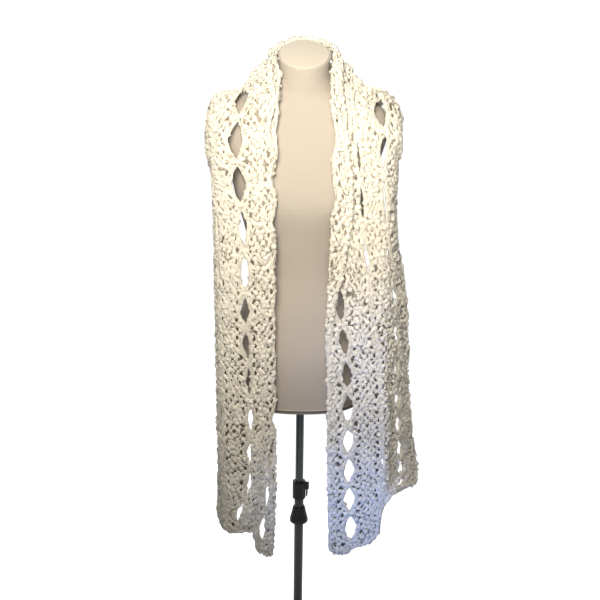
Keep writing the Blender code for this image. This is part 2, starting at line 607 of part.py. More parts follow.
# Stand
def build_stand(materials, collection):
    """Base plate, tubes, hub, clamp collar and clamp lever."""
    turned("base_plate", (
        (0.0, 0.0), (BASE_RADIUS - 0.0012, 0.0), (BASE_RADIUS, 0.0012),
        (BASE_RADIUS, BASE_THICKNESS - 0.0030), (BASE_RADIUS - 0.0030, BASE_THICKNESS),
        (BOSS_RADIUS + 0.0040, BASE_THICKNESS), (BOSS_RADIUS, BASE_THICKNESS + 0.0040),
        (BOSS_RADIUS - 0.0020, BOSS_TOP), (TUBE_RADIUS + GAP, BOSS_TOP),
        (TUBE_RADIUS + GAP, BASE_THICKNESS - 0.0010), (0.0, BASE_THICKNESS - 0.0010),
    ), False, materials["stand_paint"], collection, 64)
    turned("lower_tube", (
        (TUBE_BORE, BASE_THICKNESS - 0.0010 + GAP), (TUBE_RADIUS, BASE_THICKNESS - 0.0010 + GAP),
        (TUBE_RADIUS, TUBE_TOP), (TUBE_BORE, TUBE_TOP),
    ), True, materials["stand_paint"], collection)
    turned("mast", (
        (MAST_BORE, MAST_BOTTOM), (MAST_RADIUS - 0.0004, MAST_BOTTOM),
        (MAST_RADIUS, MAST_BOTTOM + 0.0004), (MAST_RADIUS, MAST_TOP), (MAST_BORE, MAST_TOP),
    ), True, materials["mast_metal"], collection)
    turned("tube_hub", (
        (TUBE_RADIUS + GAP, HUB_BOTTOM), (HUB_FLARE_RADIUS, HUB_BOTTOM),
        (HUB_FLARE_RADIUS, HUB_BOTTOM + 0.0060), (0.0195, HUB_BOTTOM + 0.0200),
        (0.0165, HUB_TOP - 0.0080), (HUB_TOP_RADIUS, HUB_TOP - 0.0020),
        (HUB_TOP_RADIUS - 0.0015, HUB_TOP), (TUBE_RADIUS + GAP, HUB_TOP),
    ), True, materials["clamp_plastic"], collection)

    ring = turned("collar_work", (
        (TUBE_RADIUS + GAP, COLLAR_BOTTOM), (COLLAR_RADIUS - 0.0010, COLLAR_BOTTOM),
        (COLLAR_RADIUS, COLLAR_BOTTOM + 0.0010), (COLLAR_RADIUS, COLLAR_TOP - 0.0015),
        (COLLAR_RADIUS - 0.0015, COLLAR_TOP), (MAST_RADIUS + GAP, COLLAR_TOP),
        (MAST_RADIUS + GAP, TUBE_TOP + 0.0008), (TUBE_RADIUS + GAP, TUBE_TOP + 0.0008),
    ), True, materials["clamp_plastic"], collection)
    ears = []
    ear_y = LEVER_HALF_WIDTH + GAP + 0.5 * EAR_THICKNESS
    for sign in (-1.0, 1.0):
        bpy.ops.mesh.primitive_cube_add(size=1.0, location=(0.0185, sign * ear_y, LEVER_PIVOT_Z))
        ear = bpy.context.active_object
        ear.scale = (0.0120, EAR_THICKNESS, 0.0130)
        bpy.ops.object.transform_apply(location=True, rotation=False, scale=True)
        ears.append(ear)
    for ear in ears:
        join = ring.modifiers.new("ear", "BOOLEAN")
        join.operation = "UNION"
        join.solver = "EXACT"
        join.object = ear
    mesh = applied_mesh(ring)
    for ear in ears:
        bpy.data.objects.remove(ear, do_unlink=True)
    finish_object("clamp_collar", mesh, materials["clamp_plastic"], collection, smooth=False)

    outline = []
    for step in range(9):
        angle = math.radians(-70.0 + 250.0 * step / 8.0)
        outline.append((LEVER_BARREL * math.cos(angle), LEVER_BARREL * math.sin(angle)))
    outline.extend(((-0.0041, -0.0080), (-0.0040, -0.0270), (-0.0022, -0.0290), (-0.0002, -0.0270)))
    count = len(outline)
    vertices = [(x, -LEVER_HALF_WIDTH, z) for x, z in outline]
    vertices += [(x, LEVER_HALF_WIDTH, z) for x, z in outline]
    faces = [tuple(range(count)), tuple(range(2 * count - 1, count - 1, -1))]
    faces += [(i, (i + 1) % count, count + (i + 1) % count, count + i) for i in range(count)]
    mesh = bpy.data.meshes.new("clamp_lever")
    mesh.from_pydata(vertices, [], faces)
    lever = finish_object("clamp_lever", mesh, materials["clamp_plastic"], collection, smooth=False)
    lever.location = (LEVER_PIVOT_X, 0.0, LEVER_PIVOT_Z)


def main():
    """Build every piece into one collection."""
    clear_scene()
    collection = bpy.data.collections.new("draped_crochet_scarf")
    bpy.context.scene.collection.children.link(collection)
    layer = bpy.context.view_layer.layer_collection.children[collection.name]
    bpy.context.view_layer.active_layer_collection = layer
    materials = make_materials()
    build_stand(materials, collection)
    body = build_form(materials, collection)
    drape = Drape(body)
    yarn = materials["scarf_yarn"]
    build_scarf("scarf_left", drape, HEM_LEFT, SEAM_LEFT, False, True, yarn, collection)
    build_scarf("scarf_back", drape, SEAM_LEFT, SEAM_RIGHT, True, True, yarn, collection)
    build_scarf("scarf_right", drape, SEAM_RIGHT, HEM_RIGHT, True, False, yarn, collection)
    bpy.context.view_layer.update()


main()
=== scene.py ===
import logging
import math
from dataclasses import dataclass, field
from enum import Enum

import bpy
import numpy as np
from mathutils import Matrix, Vector


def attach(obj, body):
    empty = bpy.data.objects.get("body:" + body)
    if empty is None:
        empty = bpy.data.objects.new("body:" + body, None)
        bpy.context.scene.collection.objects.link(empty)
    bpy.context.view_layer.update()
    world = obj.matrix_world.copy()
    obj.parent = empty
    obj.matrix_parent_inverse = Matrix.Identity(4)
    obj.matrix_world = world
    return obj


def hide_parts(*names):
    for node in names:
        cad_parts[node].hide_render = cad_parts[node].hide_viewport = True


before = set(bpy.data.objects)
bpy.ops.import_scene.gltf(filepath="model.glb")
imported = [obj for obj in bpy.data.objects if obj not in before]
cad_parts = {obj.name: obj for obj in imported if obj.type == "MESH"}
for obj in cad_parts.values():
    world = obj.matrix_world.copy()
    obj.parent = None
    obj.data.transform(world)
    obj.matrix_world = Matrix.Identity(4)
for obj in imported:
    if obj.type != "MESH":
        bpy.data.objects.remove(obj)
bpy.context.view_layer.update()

log = logging.getLogger("scarf")

Array = np.ndarray
Point = tuple[float, float, float]

# Sizes that the solids share with the scene
FORM_BOTTOM = 0.7445
NECK_TILT = 0.45
PITCH = 0.086
HEM_PITCH = 14.30
SCARF_WIDTH = 0.279
DIAMOND_COLUMNS = (0.0455, 0.1325, 0.2155)
ROWS_PER_PITCH = 8
SCARF_EDGES = ((0.0, -1.0), (SCARF_WIDTH, 1.0))

# The eyelets stay narrower and the painted shade in the gaps lighter up to one pitch; from another the
# eyelets open wider and the painted shade is darker
SHOULDER_PITCH = 5.0
HANGING_PITCH = 8.5

# z, half width, half depth, centre y, squareness, share of the neck tilt
FORM_SECTIONS = (
    (0.7445, 0.1500, 0.1060, 0.0000, 2.25, 0.0),
    (0.8000, 0.1600, 0.1120, 0.0000, 2.25, 0.0),
    (0.8700, 0.1640, 0.1150, 0.0000, 2.20, 0.0),
    (0.9700, 0.1400, 0.0990, 0.0000, 2.15, 0.0),
    (1.0600, 0.1140, 0.0870, 0.0000, 2.10, 0.0),
    (1.1500, 0.1280, 0.0960, -0.0030, 2.15, 0.0),
    (1.2400, 0.1500, 0.1090, -0.0070, 2.50, 0.0),
    (1.3200, 0.1690, 0.1010, -0.0005, 2.80, 0.0),
    (1.3800, 0.1860, 0.0870, 0.0040, 2.85, 0.0),
    (1.4120, 0.1880, 0.0790, 0.0050, 2.65, 0.0),
    (1.4370, 0.1720, 0.0710, 0.0040, 2.35, 0.1),
    (1.4580, 0.1350, 0.0630, 0.0030, 2.15, 0.2),
    (1.4780, 0.0830, 0.0575, 0.0020, 2.00, 0.5),
    (1.5050, 0.0600, 0.0550, 0.0000, 2.00, 0.8),
    (1.5485, 0.0550, 0.0545, 0.0000, 2.00, 1.0),
)

# One row per rib of the drape. k: pitch number. turn: width of cloth turned back at the inner
# edge. inner, outer: share of the cloth's width taken up before and after the second diamond.
# f, p, c, b: points at the inner fold, mid front, corner and outer edge. crisp: sharpness at c.
RIBS = (
    (-14.3, 0.001, 0.74, 1.03, -0.064, -0.128, 0.416, -0.100, -0.138, 0.452,
     -0.178, -0.134, 0.430, -0.196, -0.048, 0.416, 1.3),
    (-13.5, 0.001, 0.66, 1.03, -0.061, -0.130, 0.477, -0.106, -0.140, 0.498,
     -0.179, -0.135, 0.494, -0.197, -0.044, 0.482, 1.3),
    (-12.5, 0.009, 0.50, 1.03, -0.058, -0.132, 0.560, -0.112, -0.141, 0.578,
     -0.180, -0.136, 0.571, -0.198, -0.040, 0.560, 1.3),
    (-11.5, 0.030, 0.60, 1.03, -0.057, -0.133, 0.652, -0.120, -0.141, 0.656,
     -0.181, -0.136, 0.653, -0.199, -0.036, 0.645, 1.3),
    (-10.5, 0.048, 0.71, 1.03, -0.058, -0.135, 0.744, -0.124, -0.142, 0.746,
     -0.182, -0.136, 0.742, -0.200, -0.032, 0.735, 1.3),
    (-8.5, 0.054, 0.83, 1.00, -0.060, -0.137, 0.925, -0.130, -0.143, 0.926,
     -0.184, -0.137, 0.922, -0.199, -0.027, 0.915, 1.3),
    (-6.5, 0.052, 0.84, 0.80, -0.060, -0.139, 1.103, -0.130, -0.138, 1.095,
     -0.190, -0.129, 1.092, -0.197, -0.022, 1.090, 1.2),
    (-5.5, 0.050, 0.88, 0.76, -0.060, -0.140, 1.210, -0.130, -0.132, 1.197,
     -0.194, -0.121, 1.193, -0.196, -0.018, 1.172, 1.1),
    (-4.5, 0.046, 0.93, 0.85, -0.0585, -0.133, 1.308, -0.128, -0.121, 1.287,
     -0.200, -0.113, 1.293, -0.197, -0.012, 1.285, 1.0),
    (-3.5, 0.040, 0.98, 1.00, -0.0590, -0.108, 1.412, -0.122, -0.099, 1.380,
     -0.208, -0.094, 1.378, -0.203, -0.014, 1.305, 1.0),
    (-2.5, 0.036, 0.99, 1.06, -0.0550, -0.046, 1.514, -0.112, -0.046, 1.458,
     -0.215, -0.048, 1.450, -0.210, -0.026, 1.330, 1.0),
    (-1.8, 0.026, 1.00, 1.08, -0.0632, 0.006, 1.550, -0.114, 0.010, 1.474,
     -0.219, 0.026, 1.456, -0.207, 0.044, 1.325, 1.0),
    (-1.0, 0.010, 1.03, 1.00, -0.053, 0.051, 1.568, -0.082, 0.062, 1.480,
     -0.128, 0.098, 1.430, -0.138, 0.117, 1.290, 1.0),
    (0.0, 0.000, 1.00, 1.00, 0.000, 0.076, 1.578, 0.000, 0.066, 1.490,
     0.000, 0.088, 1.400, 0.000, 0.130, 1.290, 1.0),
    (1.0, 0.000, 0.96, 1.00, 0.053, 0.051, 1.568, 0.082, 0.062, 1.478,
     0.128, 0.098, 1.430, 0.140, 0.117, 1.290, 1.0),
    (1.8, 0.010, 0.80, 1.00, 0.0625, 0.006, 1.553, 0.112, 0.010, 1.478,
     0.224, 0.026, 1.459, 0.213, 0.044, 1.325, 1.0),
    (2.5, 0.026, 0.72, 1.10, 0.0560, -0.048, 1.508, 0.106, -0.055, 1.446,
     0.220, -0.062, 1.430, 0.217, -0.026, 1.325, 1.0),
    (3.5, 0.042, 0.92, 1.10, 0.0600, -0.112, 1.396, 0.118, -0.108, 1.332,
     0.208, -0.102, 1.377, 0.212, -0.016, 1.296, 1.0),
    (4.5, 0.045, 0.92, 1.06, 0.062, -0.135, 1.276, 0.125, -0.126, 1.243,
     0.202, -0.118, 1.275, 0.212, -0.010, 1.232, 1.0),
    (5.5, 0.034, 0.91, 1.06, 0.0617, -0.140, 1.158, 0.130, -0.135, 1.137,
     0.197, -0.130, 1.141, 0.224, -0.018, 1.130, 1.2),
    (6.5, 0.016, 0.93, 1.14, 0.0585, -0.141, 1.027, 0.130, -0.146, 1.030,
     0.189, -0.144, 1.052, 0.240, -0.026, 1.020, 1.8),
    (7.5, 0.003, 0.92, 1.14, 0.058, -0.141, 0.933, 0.130, -0.146, 0.944,
     0.188, -0.147, 0.962, 0.250, -0.030, 0.905, 3.0),
    (8.5, 0.000, 0.98, 1.03, 0.0617, -0.141, 0.850, 0.140, -0.147, 0.868,
     0.191, -0.150, 0.876, 0.255, -0.032, 0.828, 5.0),
    (10.5, 0.000, 1.07, 1.00, 0.0657, -0.141, 0.680, 0.140, -0.147, 0.702,
     0.199, -0.154, 0.720, 0.268, -0.031, 0.712, 9.0),
    (12.5, 0.000, 1.13, 1.08, 0.071, -0.140, 0.524, 0.145, -0.147, 0.552,
     0.205, -0.155, 0.590, 0.288, -0.027, 0.606, 10.0),
    (14.3, 0.000, 1.18, 1.14, 0.075, -0.139, 0.440, 0.150, -0.146, 0.434,
     0.218, -0.155, 0.560, 0.324, -0.016, 0.530, 10.0),
)

# Largest soft folds. k0, k1: first and last pitch. u: distance across. half: half width. rise: height
FOLDS = (
    (-14.6, -10.6, 0.096, 0.017, 0.0110),
    (-13.0, -4.0, 0.172, 0.018, -0.0050),
    (-9.5, -4.2, 0.096, 0.016, 0.0050),
    (-3.7, -1.0, 0.034, 0.014, 0.0100),
    (-3.5, -0.8, 0.090, 0.016, 0.0110),
    (-3.2, -1.4, 0.190, 0.020, 0.0040),
    (-2.4, 2.4, 0.060, 0.022, 0.0050),
    (-2.2, 2.2, 0.150, 0.024, -0.0060),
    (-2.0, 2.0, 0.220, 0.022, 0.0050),
    (0.9, 3.3, 0.078, 0.014, 0.0050),
    (1.0, 3.6, 0.115, 0.015, 0.0040),
    (1.0, 5.0, 0.178, 0.016, 0.0045),
    (4.6, 8.6, 0.100, 0.015, 0.0060),
    (8.0, 14.6, 0.180, 0.022, -0.0050),
)

# Cloth drawn together. k0, k1: pitches. u0, u1: part of the width. share: what is left of it
SQUEEZES = (
    (-14.9, -8.0, 0.119, 0.146, 0.70),
    (-14.9, -7.2, 0.200, 0.231, 0.40),
    (-5.4, -2.0, 0.117, 0.148, 1.30),
    (1.4, 3.6, 0.119, 0.146, 0.35),
    (2.8, 6.2, 0.117, 0.148, 0.42),
    (5.6, 8.2, 0.117, 0.148, 0.14),
    (1.4, 6.0, 0.146, 0.202, 0.66),
    (2.9, 6.6, 0.200, 0.231, 0.45),
    (7.6, 14.9, 0.117, 0.148, 0.18),
)

# Ends that hang lower, from the inner edge across to u0 and fading out at u1. k0, k1: pitch where the
# drop starts and the end. drop: its depth there, negative where the end is shorter
SAGS = (
    (-10.6, -14.3, 0.058, 0.074, 0.056),
    (-13.2, -14.3, 0.000, 0.020, -0.014),
    (12.2, 14.3, 0.133, 0.153, 0.056),
    (13.6, 14.3, 0.000, 0.012, -0.012),
    (13.7, 14.3, 0.034, 0.050, 0.013),
    (13.7, 14.3, 0.060, 0.095, -0.013),
)


class Body(Enum):
    """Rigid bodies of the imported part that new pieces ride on."""

    FORM = "form"


class Stretch(Enum):
    """Stretches of the scarf: name, first pitch, last pitch."""

    LEFT = ("left", -HEM_PITCH, -2.0)
    BACK = ("back", -2.0, 2.0)
    RIGHT = ("right", 2.0, HEM_PITCH)

    @property
    def label(self) -> str:
        """The word that the stretch's pieces carry in their names."""
        return self.value[0]

    @property
    def span(self) -> tuple[float, float]:
        """First and last pitch of the stretch."""
        return self.value[1], self.value[2]


# Shape helpers


def smooth_table(rows: tuple, at: Array) -> Array:
    """Read a table at given keys with cubic pieces through its rows.

    Args:
        rows: Rows of numbers, the key first.
        at: Keys to read at.

    Returns:
        One row of values for each key.
    """
    table = np.array(rows, dtype=float)
    key, value = table[:, 0], table[:, 1:]
    step = np.diff(key)[:, None]
    slope = np.diff(value, axis=0) / step
    tangent = np.empty_like(value)
    tangent[0], tangent[-1] = slope[0], slope[-1]
    tangent[1:-1] = (slope[:-1] * step[1:] + slope[1:] * step[:-1]) / (step[1:] + step[:-1])
    place = np.clip(np.searchsorted(key, at, side="right") - 1, 0, len(key) - 2)
    width = step[place]
    q = (np.asarray(at, dtype=float) - key[place])[:, None] / width
    return ((2 * q**3 - 3 * q**2 + 1) * value[place] + (q**3 - 2 * q**2 + q) * width * tangent[place]
            + (-2 * q**3 + 3 * q**2) * value[place + 1] + (q**3 - q**2) * width * tangent[place + 1])


def unit(vectors: Array) -> Array:
    """Vectors of length one."""
    return vectors / np.maximum(np.linalg.norm(vectors, axis=-1, keepdims=True), 1e-12)


def soft_step(x: Array, low: float, high: float) -> Array:
    """Smooth rise from 0 at low to 1 at high."""
    q = np.clip((x - low) / (high - low), 0.0, 1.0)
    return q * q * (3.0 - 2.0 * q)


def upper_share(k: Array) -> Array:
    """One on the shoulders and behind the neck, nothing on the hanging ends, where the eyelets open wider
    and the painted shade in the gaps is darker.
    """
    return soft_step(-np.abs(k), -HANGING_PITCH, -SHOULDER_PITCH)


def window(k: Array, k0: float, k1: float, end: float = 0.8) -> Array:
    """One between two pitches and nothing outside them, with soft ends."""
    return soft_step(k, k0, k0 + end) * soft_step(-k, -k1, end - k1)


def wobble(rng: np.random.Generator, rows: int, points: int, knots: int, size: float) -> Array:
    """Smooth random offsets along rows: random values at knots, joined by cosine steps.

    Args:
        rng: Seeded source of the values.
        rows: Number of rows.
        points: Number of points in a row.
        knots: Number of random values in a row.
        size: Standard deviation of the values.

    Returns:
        An array of rows by points.
    """
    values = rng.normal(0.0, size, (rows, knots + 1))
    place = np.linspace(0.0, knots - 1e-6, points)
    low = place.astype(int)
    share = 0.5 - 0.5 * np.cos(math.pi * (place - low))
    return values[:, low] * (1.0 - share) + values[:, low + 1] * share


def read_grid(grid: Array, a: Array, b: Array, a_axis: Array, b_axis: Array) -> Array:
    """Bilinear reading of a grid of vectors kept over two evenly spaced axes.

    Args:
        grid: Vectors, as first axis by second axis by three.
        a: Places along the first axis.
        b: Places along the second axis.
        a_axis: Values of the first axis.
        b_axis: Values of the second axis.

    Returns:
        A vector for each pair of places.
    """
    i = np.clip((a - a_axis[0]) / (a_axis[1] - a_axis[0]), 0.0, len(a_axis) - 1.001)
    j = np.clip((b - b_axis[0]) / (b_axis[1] - b_axis[0]), 0.0, len(b_axis) - 1.001)
    i0, j0 = i.astype(int), j.astype(int)
    p, q = (i - i0)[..., None], (j - j0)[..., None]
    return ((1 - p) * (1 - q) * grid[i0, j0] + p * (1 - q) * grid[i0 + 1, j0]
            + (1 - p) * q * grid[i0, j0 + 1] + p * q * grid[i0 + 1, j0 + 1])


# Surfaces that carry the pieces


class FormShape:
    """The dress form's outer surface: squared ellipses whose sizes follow a table of heights."""

    BUST_HEIGHT = 1.235
    BUST_X = 0.070
    BUST_RISE = 0.006
    BUST_SPREAD = 0.050
    LEVELS = 400
    SLOPE_STEP = 0.001

    def __init__(self) -> None:
        """Read the section table on a fine set of heights."""
        self.heights = np.linspace(FORM_SECTIONS[0][0], FORM_SECTIONS[-1][0], self.LEVELS)
        self.table = smooth_table(FORM_SECTIONS, self.heights)

    def section(self, z: Array) -> list[Array]:
        """Half width, half depth, centre y, squareness and tilt share at heights."""
        return [np.interp(z, self.heights, self.table[:, i]) for i in range(5)]

    def bust(self, x: Array, z: Array) -> Array:
        """Height of the two soft bust mounds: a bell over the distance from each middle."""
        return self.BUST_RISE * np.exp(-((np.abs(x) - self.BUST_X) / self.BUST_SPREAD) ** 2
                                       - ((z - self.BUST_HEIGHT) / self.BUST_SPREAD) ** 2)

    def rings(self, heights: Array, sides: int, inset: Array | float = 0.0) -> Array:
        """Points on the form: x and y follow powers of cosine and sine at each height.

        Args:
            heights: Heights of the rings before the neck's tilt.
            sides: Points in each ring.
            inset: How far each ring lies inside the surface.

        Returns:
            An array of rings by sides by three.
        """
        half_w, half_d, centre, square, tilt = (part[:, None] for part in self.section(heights))
        angle = (np.arange(sides) * math.tau / sides)[None, :]
        cosine, sine = np.cos(angle), np.sin(angle)
        less = np.broadcast_to(inset, heights.shape)[:, None]
        x = (half_w - less) * np.sign(cosine) * np.abs(cosine) ** (2.0 / square)
        y = centre + (half_d - less) * np.sign(sine) * np.abs(sine) ** (2.0 / square)
        z = heights[:, None] + NECK_TILT * tilt * y
        y = y - self.bust(x, z) * np.clip(-sine, 0.0, 1.0)
        return np.stack([x, y, z], axis=-1)

    def gauge(self, points: Array) -> Array:
        """The squared ellipse's own measure of how far out points lie.

        Args:
            points: Points in space.

        Returns:
            One on the surface, less inside it and more outside.
        """
        x, y, z = points[..., 0], points[..., 1], points[..., 2]
        level = z
        for _ in range(3):
            level = z - NECK_TILT * self.section(level)[4] * y
        half_w, half_d, centre, square, _ = self.section(level)
        front = np.clip((centre - y) / half_d, 0.0, 1.0)
        y = y + self.bust(x, z) * front
        return ((np.abs(x) / half_w) ** square + (np.abs(y - centre) / half_d) ** square) ** (1.0 / square)

    def keep_clear(self, points: Array, margin: float) -> Array:
        """Move points out along the gauge's slope until they stand off the surface.

        Args:
            points: Points in space.
            margin: Least distance from the surface.

        Returns:
            The points, moved where they lay too close.
        """
        step = self.SLOPE_STEP
        for _ in range(2):
            value = self.gauge(points)
            slope = np.stack([(self.gauge(points + step * axis) - value) / step for axis in np.eye(3)],
                             axis=-1)
            steep = np.maximum(np.linalg.norm(slope, axis=-1), 1.0)
            short = np.maximum(margin - (value - 1.0) / steep, 0.0)
            points = points + slope / steep[..., None] * short[..., None]
        return points


class DrapedCloth:
    """The scarf's middle surface as grids over pitch k and distance across u."""

    CELL = 0.004
    REACH = 0.330
    RIB_COUNT = 577
    CURVE_POINTS = 33
    ROWS = 1241
    COLUMNS = 197
    PAST_HEM = 0.1
    PAST_EDGE = 0.0075
    FOLD_RADIUS = 0.0065
    FOLD_GROWTH = 0.02
    FOLD_DRIFT = 0.004
    SAG_POWER = 1.4
    FACING_GAIN = 2.5
    CLEARANCE = 0.0062

    def __init__(self, form: FormShape) -> None:
        """Work out the ribs, then the cloth laid along them, turned back and kept off the form.

        Args:
            form: The form that the cloth stays clear of.
        """
        end = HEM_PITCH + self.PAST_HEM
        self.rib_k = np.linspace(-end, end, self.RIB_COUNT)
        self.rib_t = np.arange(0.0, self.REACH, self.CELL)
        self.table = smooth_table(RIBS, self.rib_k)
        self.base = self._ribs()
        along, across = np.gradient(self.base, self.rib_k, self.rib_t, axis=(0, 1))
        self.base_normal = unit(np.cross(along, across))

        self.k = np.linspace(-end, end, self.ROWS)
        self.u = np.linspace(-self.PAST_EDGE, SCARF_WIDTH + self.PAST_EDGE, self.COLUMNS)
        k, u = np.meshgrid(self.k, self.u, indexing="ij")
        distance, height, front = self._place(k, u)
        point = self._read(self.base, k, distance)
        normal = unit(self._read(self.base_normal, k, distance))
        turn = np.interp(k, self.rib_k, self.table[:, 0].clip(0.0))
        ridge = self._folds(k, np.where(front, u, 2.0 * turn - u))
        point = point + normal * (height + ridge)[..., None]
        point[..., 2] -= self._sag(k, u)
        self.points = form.keep_clear(point, self.CLEARANCE)
        along, across = np.gradient(self.points, self.k, self.u, axis=(0, 1))
        self.normals = unit(np.cross(along, across))
        facing = np.clip(self.FACING_GAIN * np.sum(self.normals * normal, axis=-1), -1.0, 1.0)
        self.outward = self.normals * facing[..., None]

    def _ribs(self) -> Array:
        """Base sheet: each rib is two quadratic curves, the second one weighted at its corner.

        Returns:
            Points, as ribs by distances along a rib by three.
        """
        fold, front, corner, edge = (self.table[:, 3 + 3 * i: 6 + 3 * i][:, None] for i in range(4))
        crisp = self.table[:, 15][:, None, None]
        half = 0.5 * (front + corner)
        q = np.linspace(0.0, 1.0, self.CURVE_POINTS)[None, :, None]
        first = (1 - q) ** 2 * fold + 2 * q * (1 - q) * front + q**2 * half
        low = (1 - q) ** 2 + 2 * crisp * q * (1 - q) + q**2
        second = ((1 - q) ** 2 * half + 2 * crisp * q * (1 - q) * corner + q**2 * edge) / low
        path = np.concatenate([first, second[:, 1:]], axis=1)
        grid = np.empty((len(self.rib_k), len(self.rib_t), 3))
        for i, line in enumerate(path):
            run = np.concatenate([[0.0], np.cumsum(np.linalg.norm(np.diff(line, axis=0), axis=1))])
            grid[i] = np.stack([np.interp(self.rib_t, run, line[:, a]) for a in range(3)], axis=-1)
            past = np.clip(self.rib_t - run[-1], 0.0, None)[:, None]
            grid[i] += past * (line[-1] - line[-2]) / np.linalg.norm(line[-1] - line[-2])
        return grid

    def _read(self, grid: Array, k: Array, t: Array) -> Array:
        """Bilinear reading of a rib grid by pitch and distance along a rib."""
        return read_grid(grid, k, t, self.rib_k, self.rib_t)

    def _place(self, k: Array, u: Array) -> tuple[Array, Array, Array]:
        """Distance along the rib and height off it for cloth turned back round a small fold.

        Args:
            k: Pitches.
            u: Distances across the cloth.

        Returns:
            Distance along the rib, height off it, and whether the cloth is before the fold.
        """
        turn, inner, outer = (np.interp(k, self.rib_k, self.table[:, i]) for i in range(3))
        turn = turn.clip(0.0)
        side = np.where(k > 0.0, 1.0, -1.0)
        radius = np.maximum(self.FOLD_RADIUS * np.clip(turn / self.FOLD_GROWTH, 0.0, 1.0), 0.00001)
        quarter = 0.5 * math.pi * radius
        beyond = np.abs(u - turn)
        front = u >= turn
        angle = np.clip(beyond / radius, 0.0, 0.5 * math.pi)
        lean = 1.0 - np.sin(angle)
        flat = np.minimum(beyond, np.maximum(DIAMOND_COLUMNS[1] - turn, 0.0))
        rest = beyond - flat
        flat = np.maximum(flat - quarter, 0.0) * inner + rest * outer
        for k0, k1, u0, u1, share in SQUEEZES:
            drawn = (1.0 - share) * window(k, k0, k1) * np.clip(u - u0, 0.0, u1 - u0)
            flat = flat - np.where(front, drawn, 0.0)
        distance = radius * (1.0 - np.cos(angle)) + np.where(front, flat, np.maximum(beyond - quarter, 0.0))
        height = side * radius * np.where(front, lean, 2.0 - lean)
        return distance, height, front

    def _folds(self, k: Array, u: Array) -> Array:
        """Height of the soft folds: bell-shaped ridges that drift a little along the scarf.

        Args:
            k: Pitches.
            u: Distances across the cloth.

        Returns:
            Height at each place.
        """
        total = np.zeros_like(u)
        for k0, k1, centre, half, rise in FOLDS:
            drift = centre + self.FOLD_DRIFT * np.sin(1.3 * k + 40.0 * centre)
            total += rise * window(k, k0, k1) * np.exp(-((u - drift) / half) ** 2)
        return total

    def _sag(self, k: Array, u: Array) -> Array:
        """How far the ends hang lower: a power of the pitch, cut off softly across.

        Args:
            k: Pitches.
            u: Distances across the cloth.

        Returns:
            Drop at each place.
        """
        total = np.zeros_like(u)
        for k0, k1, u0, u1, drop in SAGS:
            near_end = np.clip((k0 - k) / (k0 - k1), 0.0, 1.1)
            total += drop * near_end ** self.SAG_POWER * (1.0 - soft_step(u, u0, u1))
        return total

    def at(self, k: Array, u: Array, lift: Array | float = 0.0) -> tuple[Array, Array]:
        """Points of the cloth, lifted off its middle surface on the side that shows.

        Args:
            k: Pitches.
            u: Distances across the cloth.
            lift: Height off the middle surface.

        Returns:
            The points, and the cloth's normals there.
        """
        lift = np.broadcast_to(lift, np.shape(k))[..., None]
        outward = read_grid(self.outward, k, u, self.k, self.u)
        point = read_grid(self.points, k, u, self.k, self.u) + outward * lift
        return point, unit(read_grid(self.normals, k, u, self.k, self.u))


# Meshes


@dataclass
class MeshMaker:
    """Collects points, faces and a tone for each point, and makes one mesh of them."""

    points: list[Array] = field(default_factory=list)
    corners: list[Array] = field(default_factory=list)
    sizes: list[Array] = field(default_factory=list)
    tones: list[Array] = field(default_factory=list)
    count: int = 0

    def add(self, points: Array, faces: list[Array], tones: Array | float = 0.5) -> None:
        """Add points and faces to the mesh.

        Args:
            points: Points in space.
            faces: Arrays of faces, each with the same number of corners throughout.
            tones: One tone for all points, or one for each.
        """
        points = points.reshape(-1, 3)
        self.points.append(points)
        self.tones.append(np.broadcast_to(tones, (len(points),)) if np.ndim(tones) == 0
                          else np.asarray(tones).reshape(-1))
        for block in faces:
            self.corners.append((block + self.count).reshape(-1))
            self.sizes.append(np.full(len(block), block.shape[1]))
        self.count += len(points)

    def make(self, name: str, material: bpy.types.Material) -> bpy.types.Object:
        """Turn what was collected into an object at the origin, with smooth shading.

        Args:
            name: Name of the piece.
            material: Its only material.

        Returns:
            The new object, linked into the scene.
        """
        points = np.concatenate(self.points)
        corners = np.concatenate(self.corners)
        sizes = np.concatenate(self.sizes)
        mesh = bpy.data.meshes.new(name)
        mesh.vertices.add(len(points))
        mesh.vertices.foreach_set("co", points.astype(np.float32).reshape(-1))
        mesh.loops.add(len(corners))
        mesh.loops.foreach_set("vertex_index", corners.astype(np.int32))
        mesh.polygons.add(len(sizes))
        starts = np.concatenate([[0], np.cumsum(sizes)[:-1]])
        mesh.polygons.foreach_set("loop_start", starts.astype(np.int32))
        mesh.polygons.foreach_set("use_smooth", np.ones(len(sizes), dtype=bool))
        tone = mesh.attributes.new("tone", "FLOAT", "POINT")
        tone.data.foreach_set("value", np.concatenate(self.tones).astype(np.float32))
        mesh.update(calc_edges=True)
        mesh.validate()
        mesh.materials.append(material)
        item = bpy.data.objects.new(name, mesh)
        bpy.context.scene.collection.objects.link(item)
        return item


def ring_faces(rows: int, sides: int) -> Array:
    """Quads between rings that close on themselves, turned outward for rings that run round +Z.

    Args:
        rows: Number of rings.
        sides: Points in each ring.

    Returns:
        An array of quads by four.
    """
    i, j = np.meshgrid(np.arange(rows - 1), np.arange(sides), indexing="ij")
    k = (j + 1) % sides
    return np.stack([i * sides + j, i * sides + k, (i + 1) * sides + k, (i + 1) * sides + j],
                    axis=-1).reshape(-1, 4)


def closed_loft(maker: MeshMaker, rings: Array) -> None:
    """Add a closed skin through rings with the same number of points, capped at both ends.

    Args:
        maker: Where the skin goes.
        rings: Points, as rings by sides by three.
    """
    rows, sides = rings.shape[:2]
    first = np.arange(sides)[::-1][None, :]
    last = (np.arange(sides) + (rows - 1) * sides)[None, :]
    maker.add(rings, [ring_faces(rows, sides), first, last])


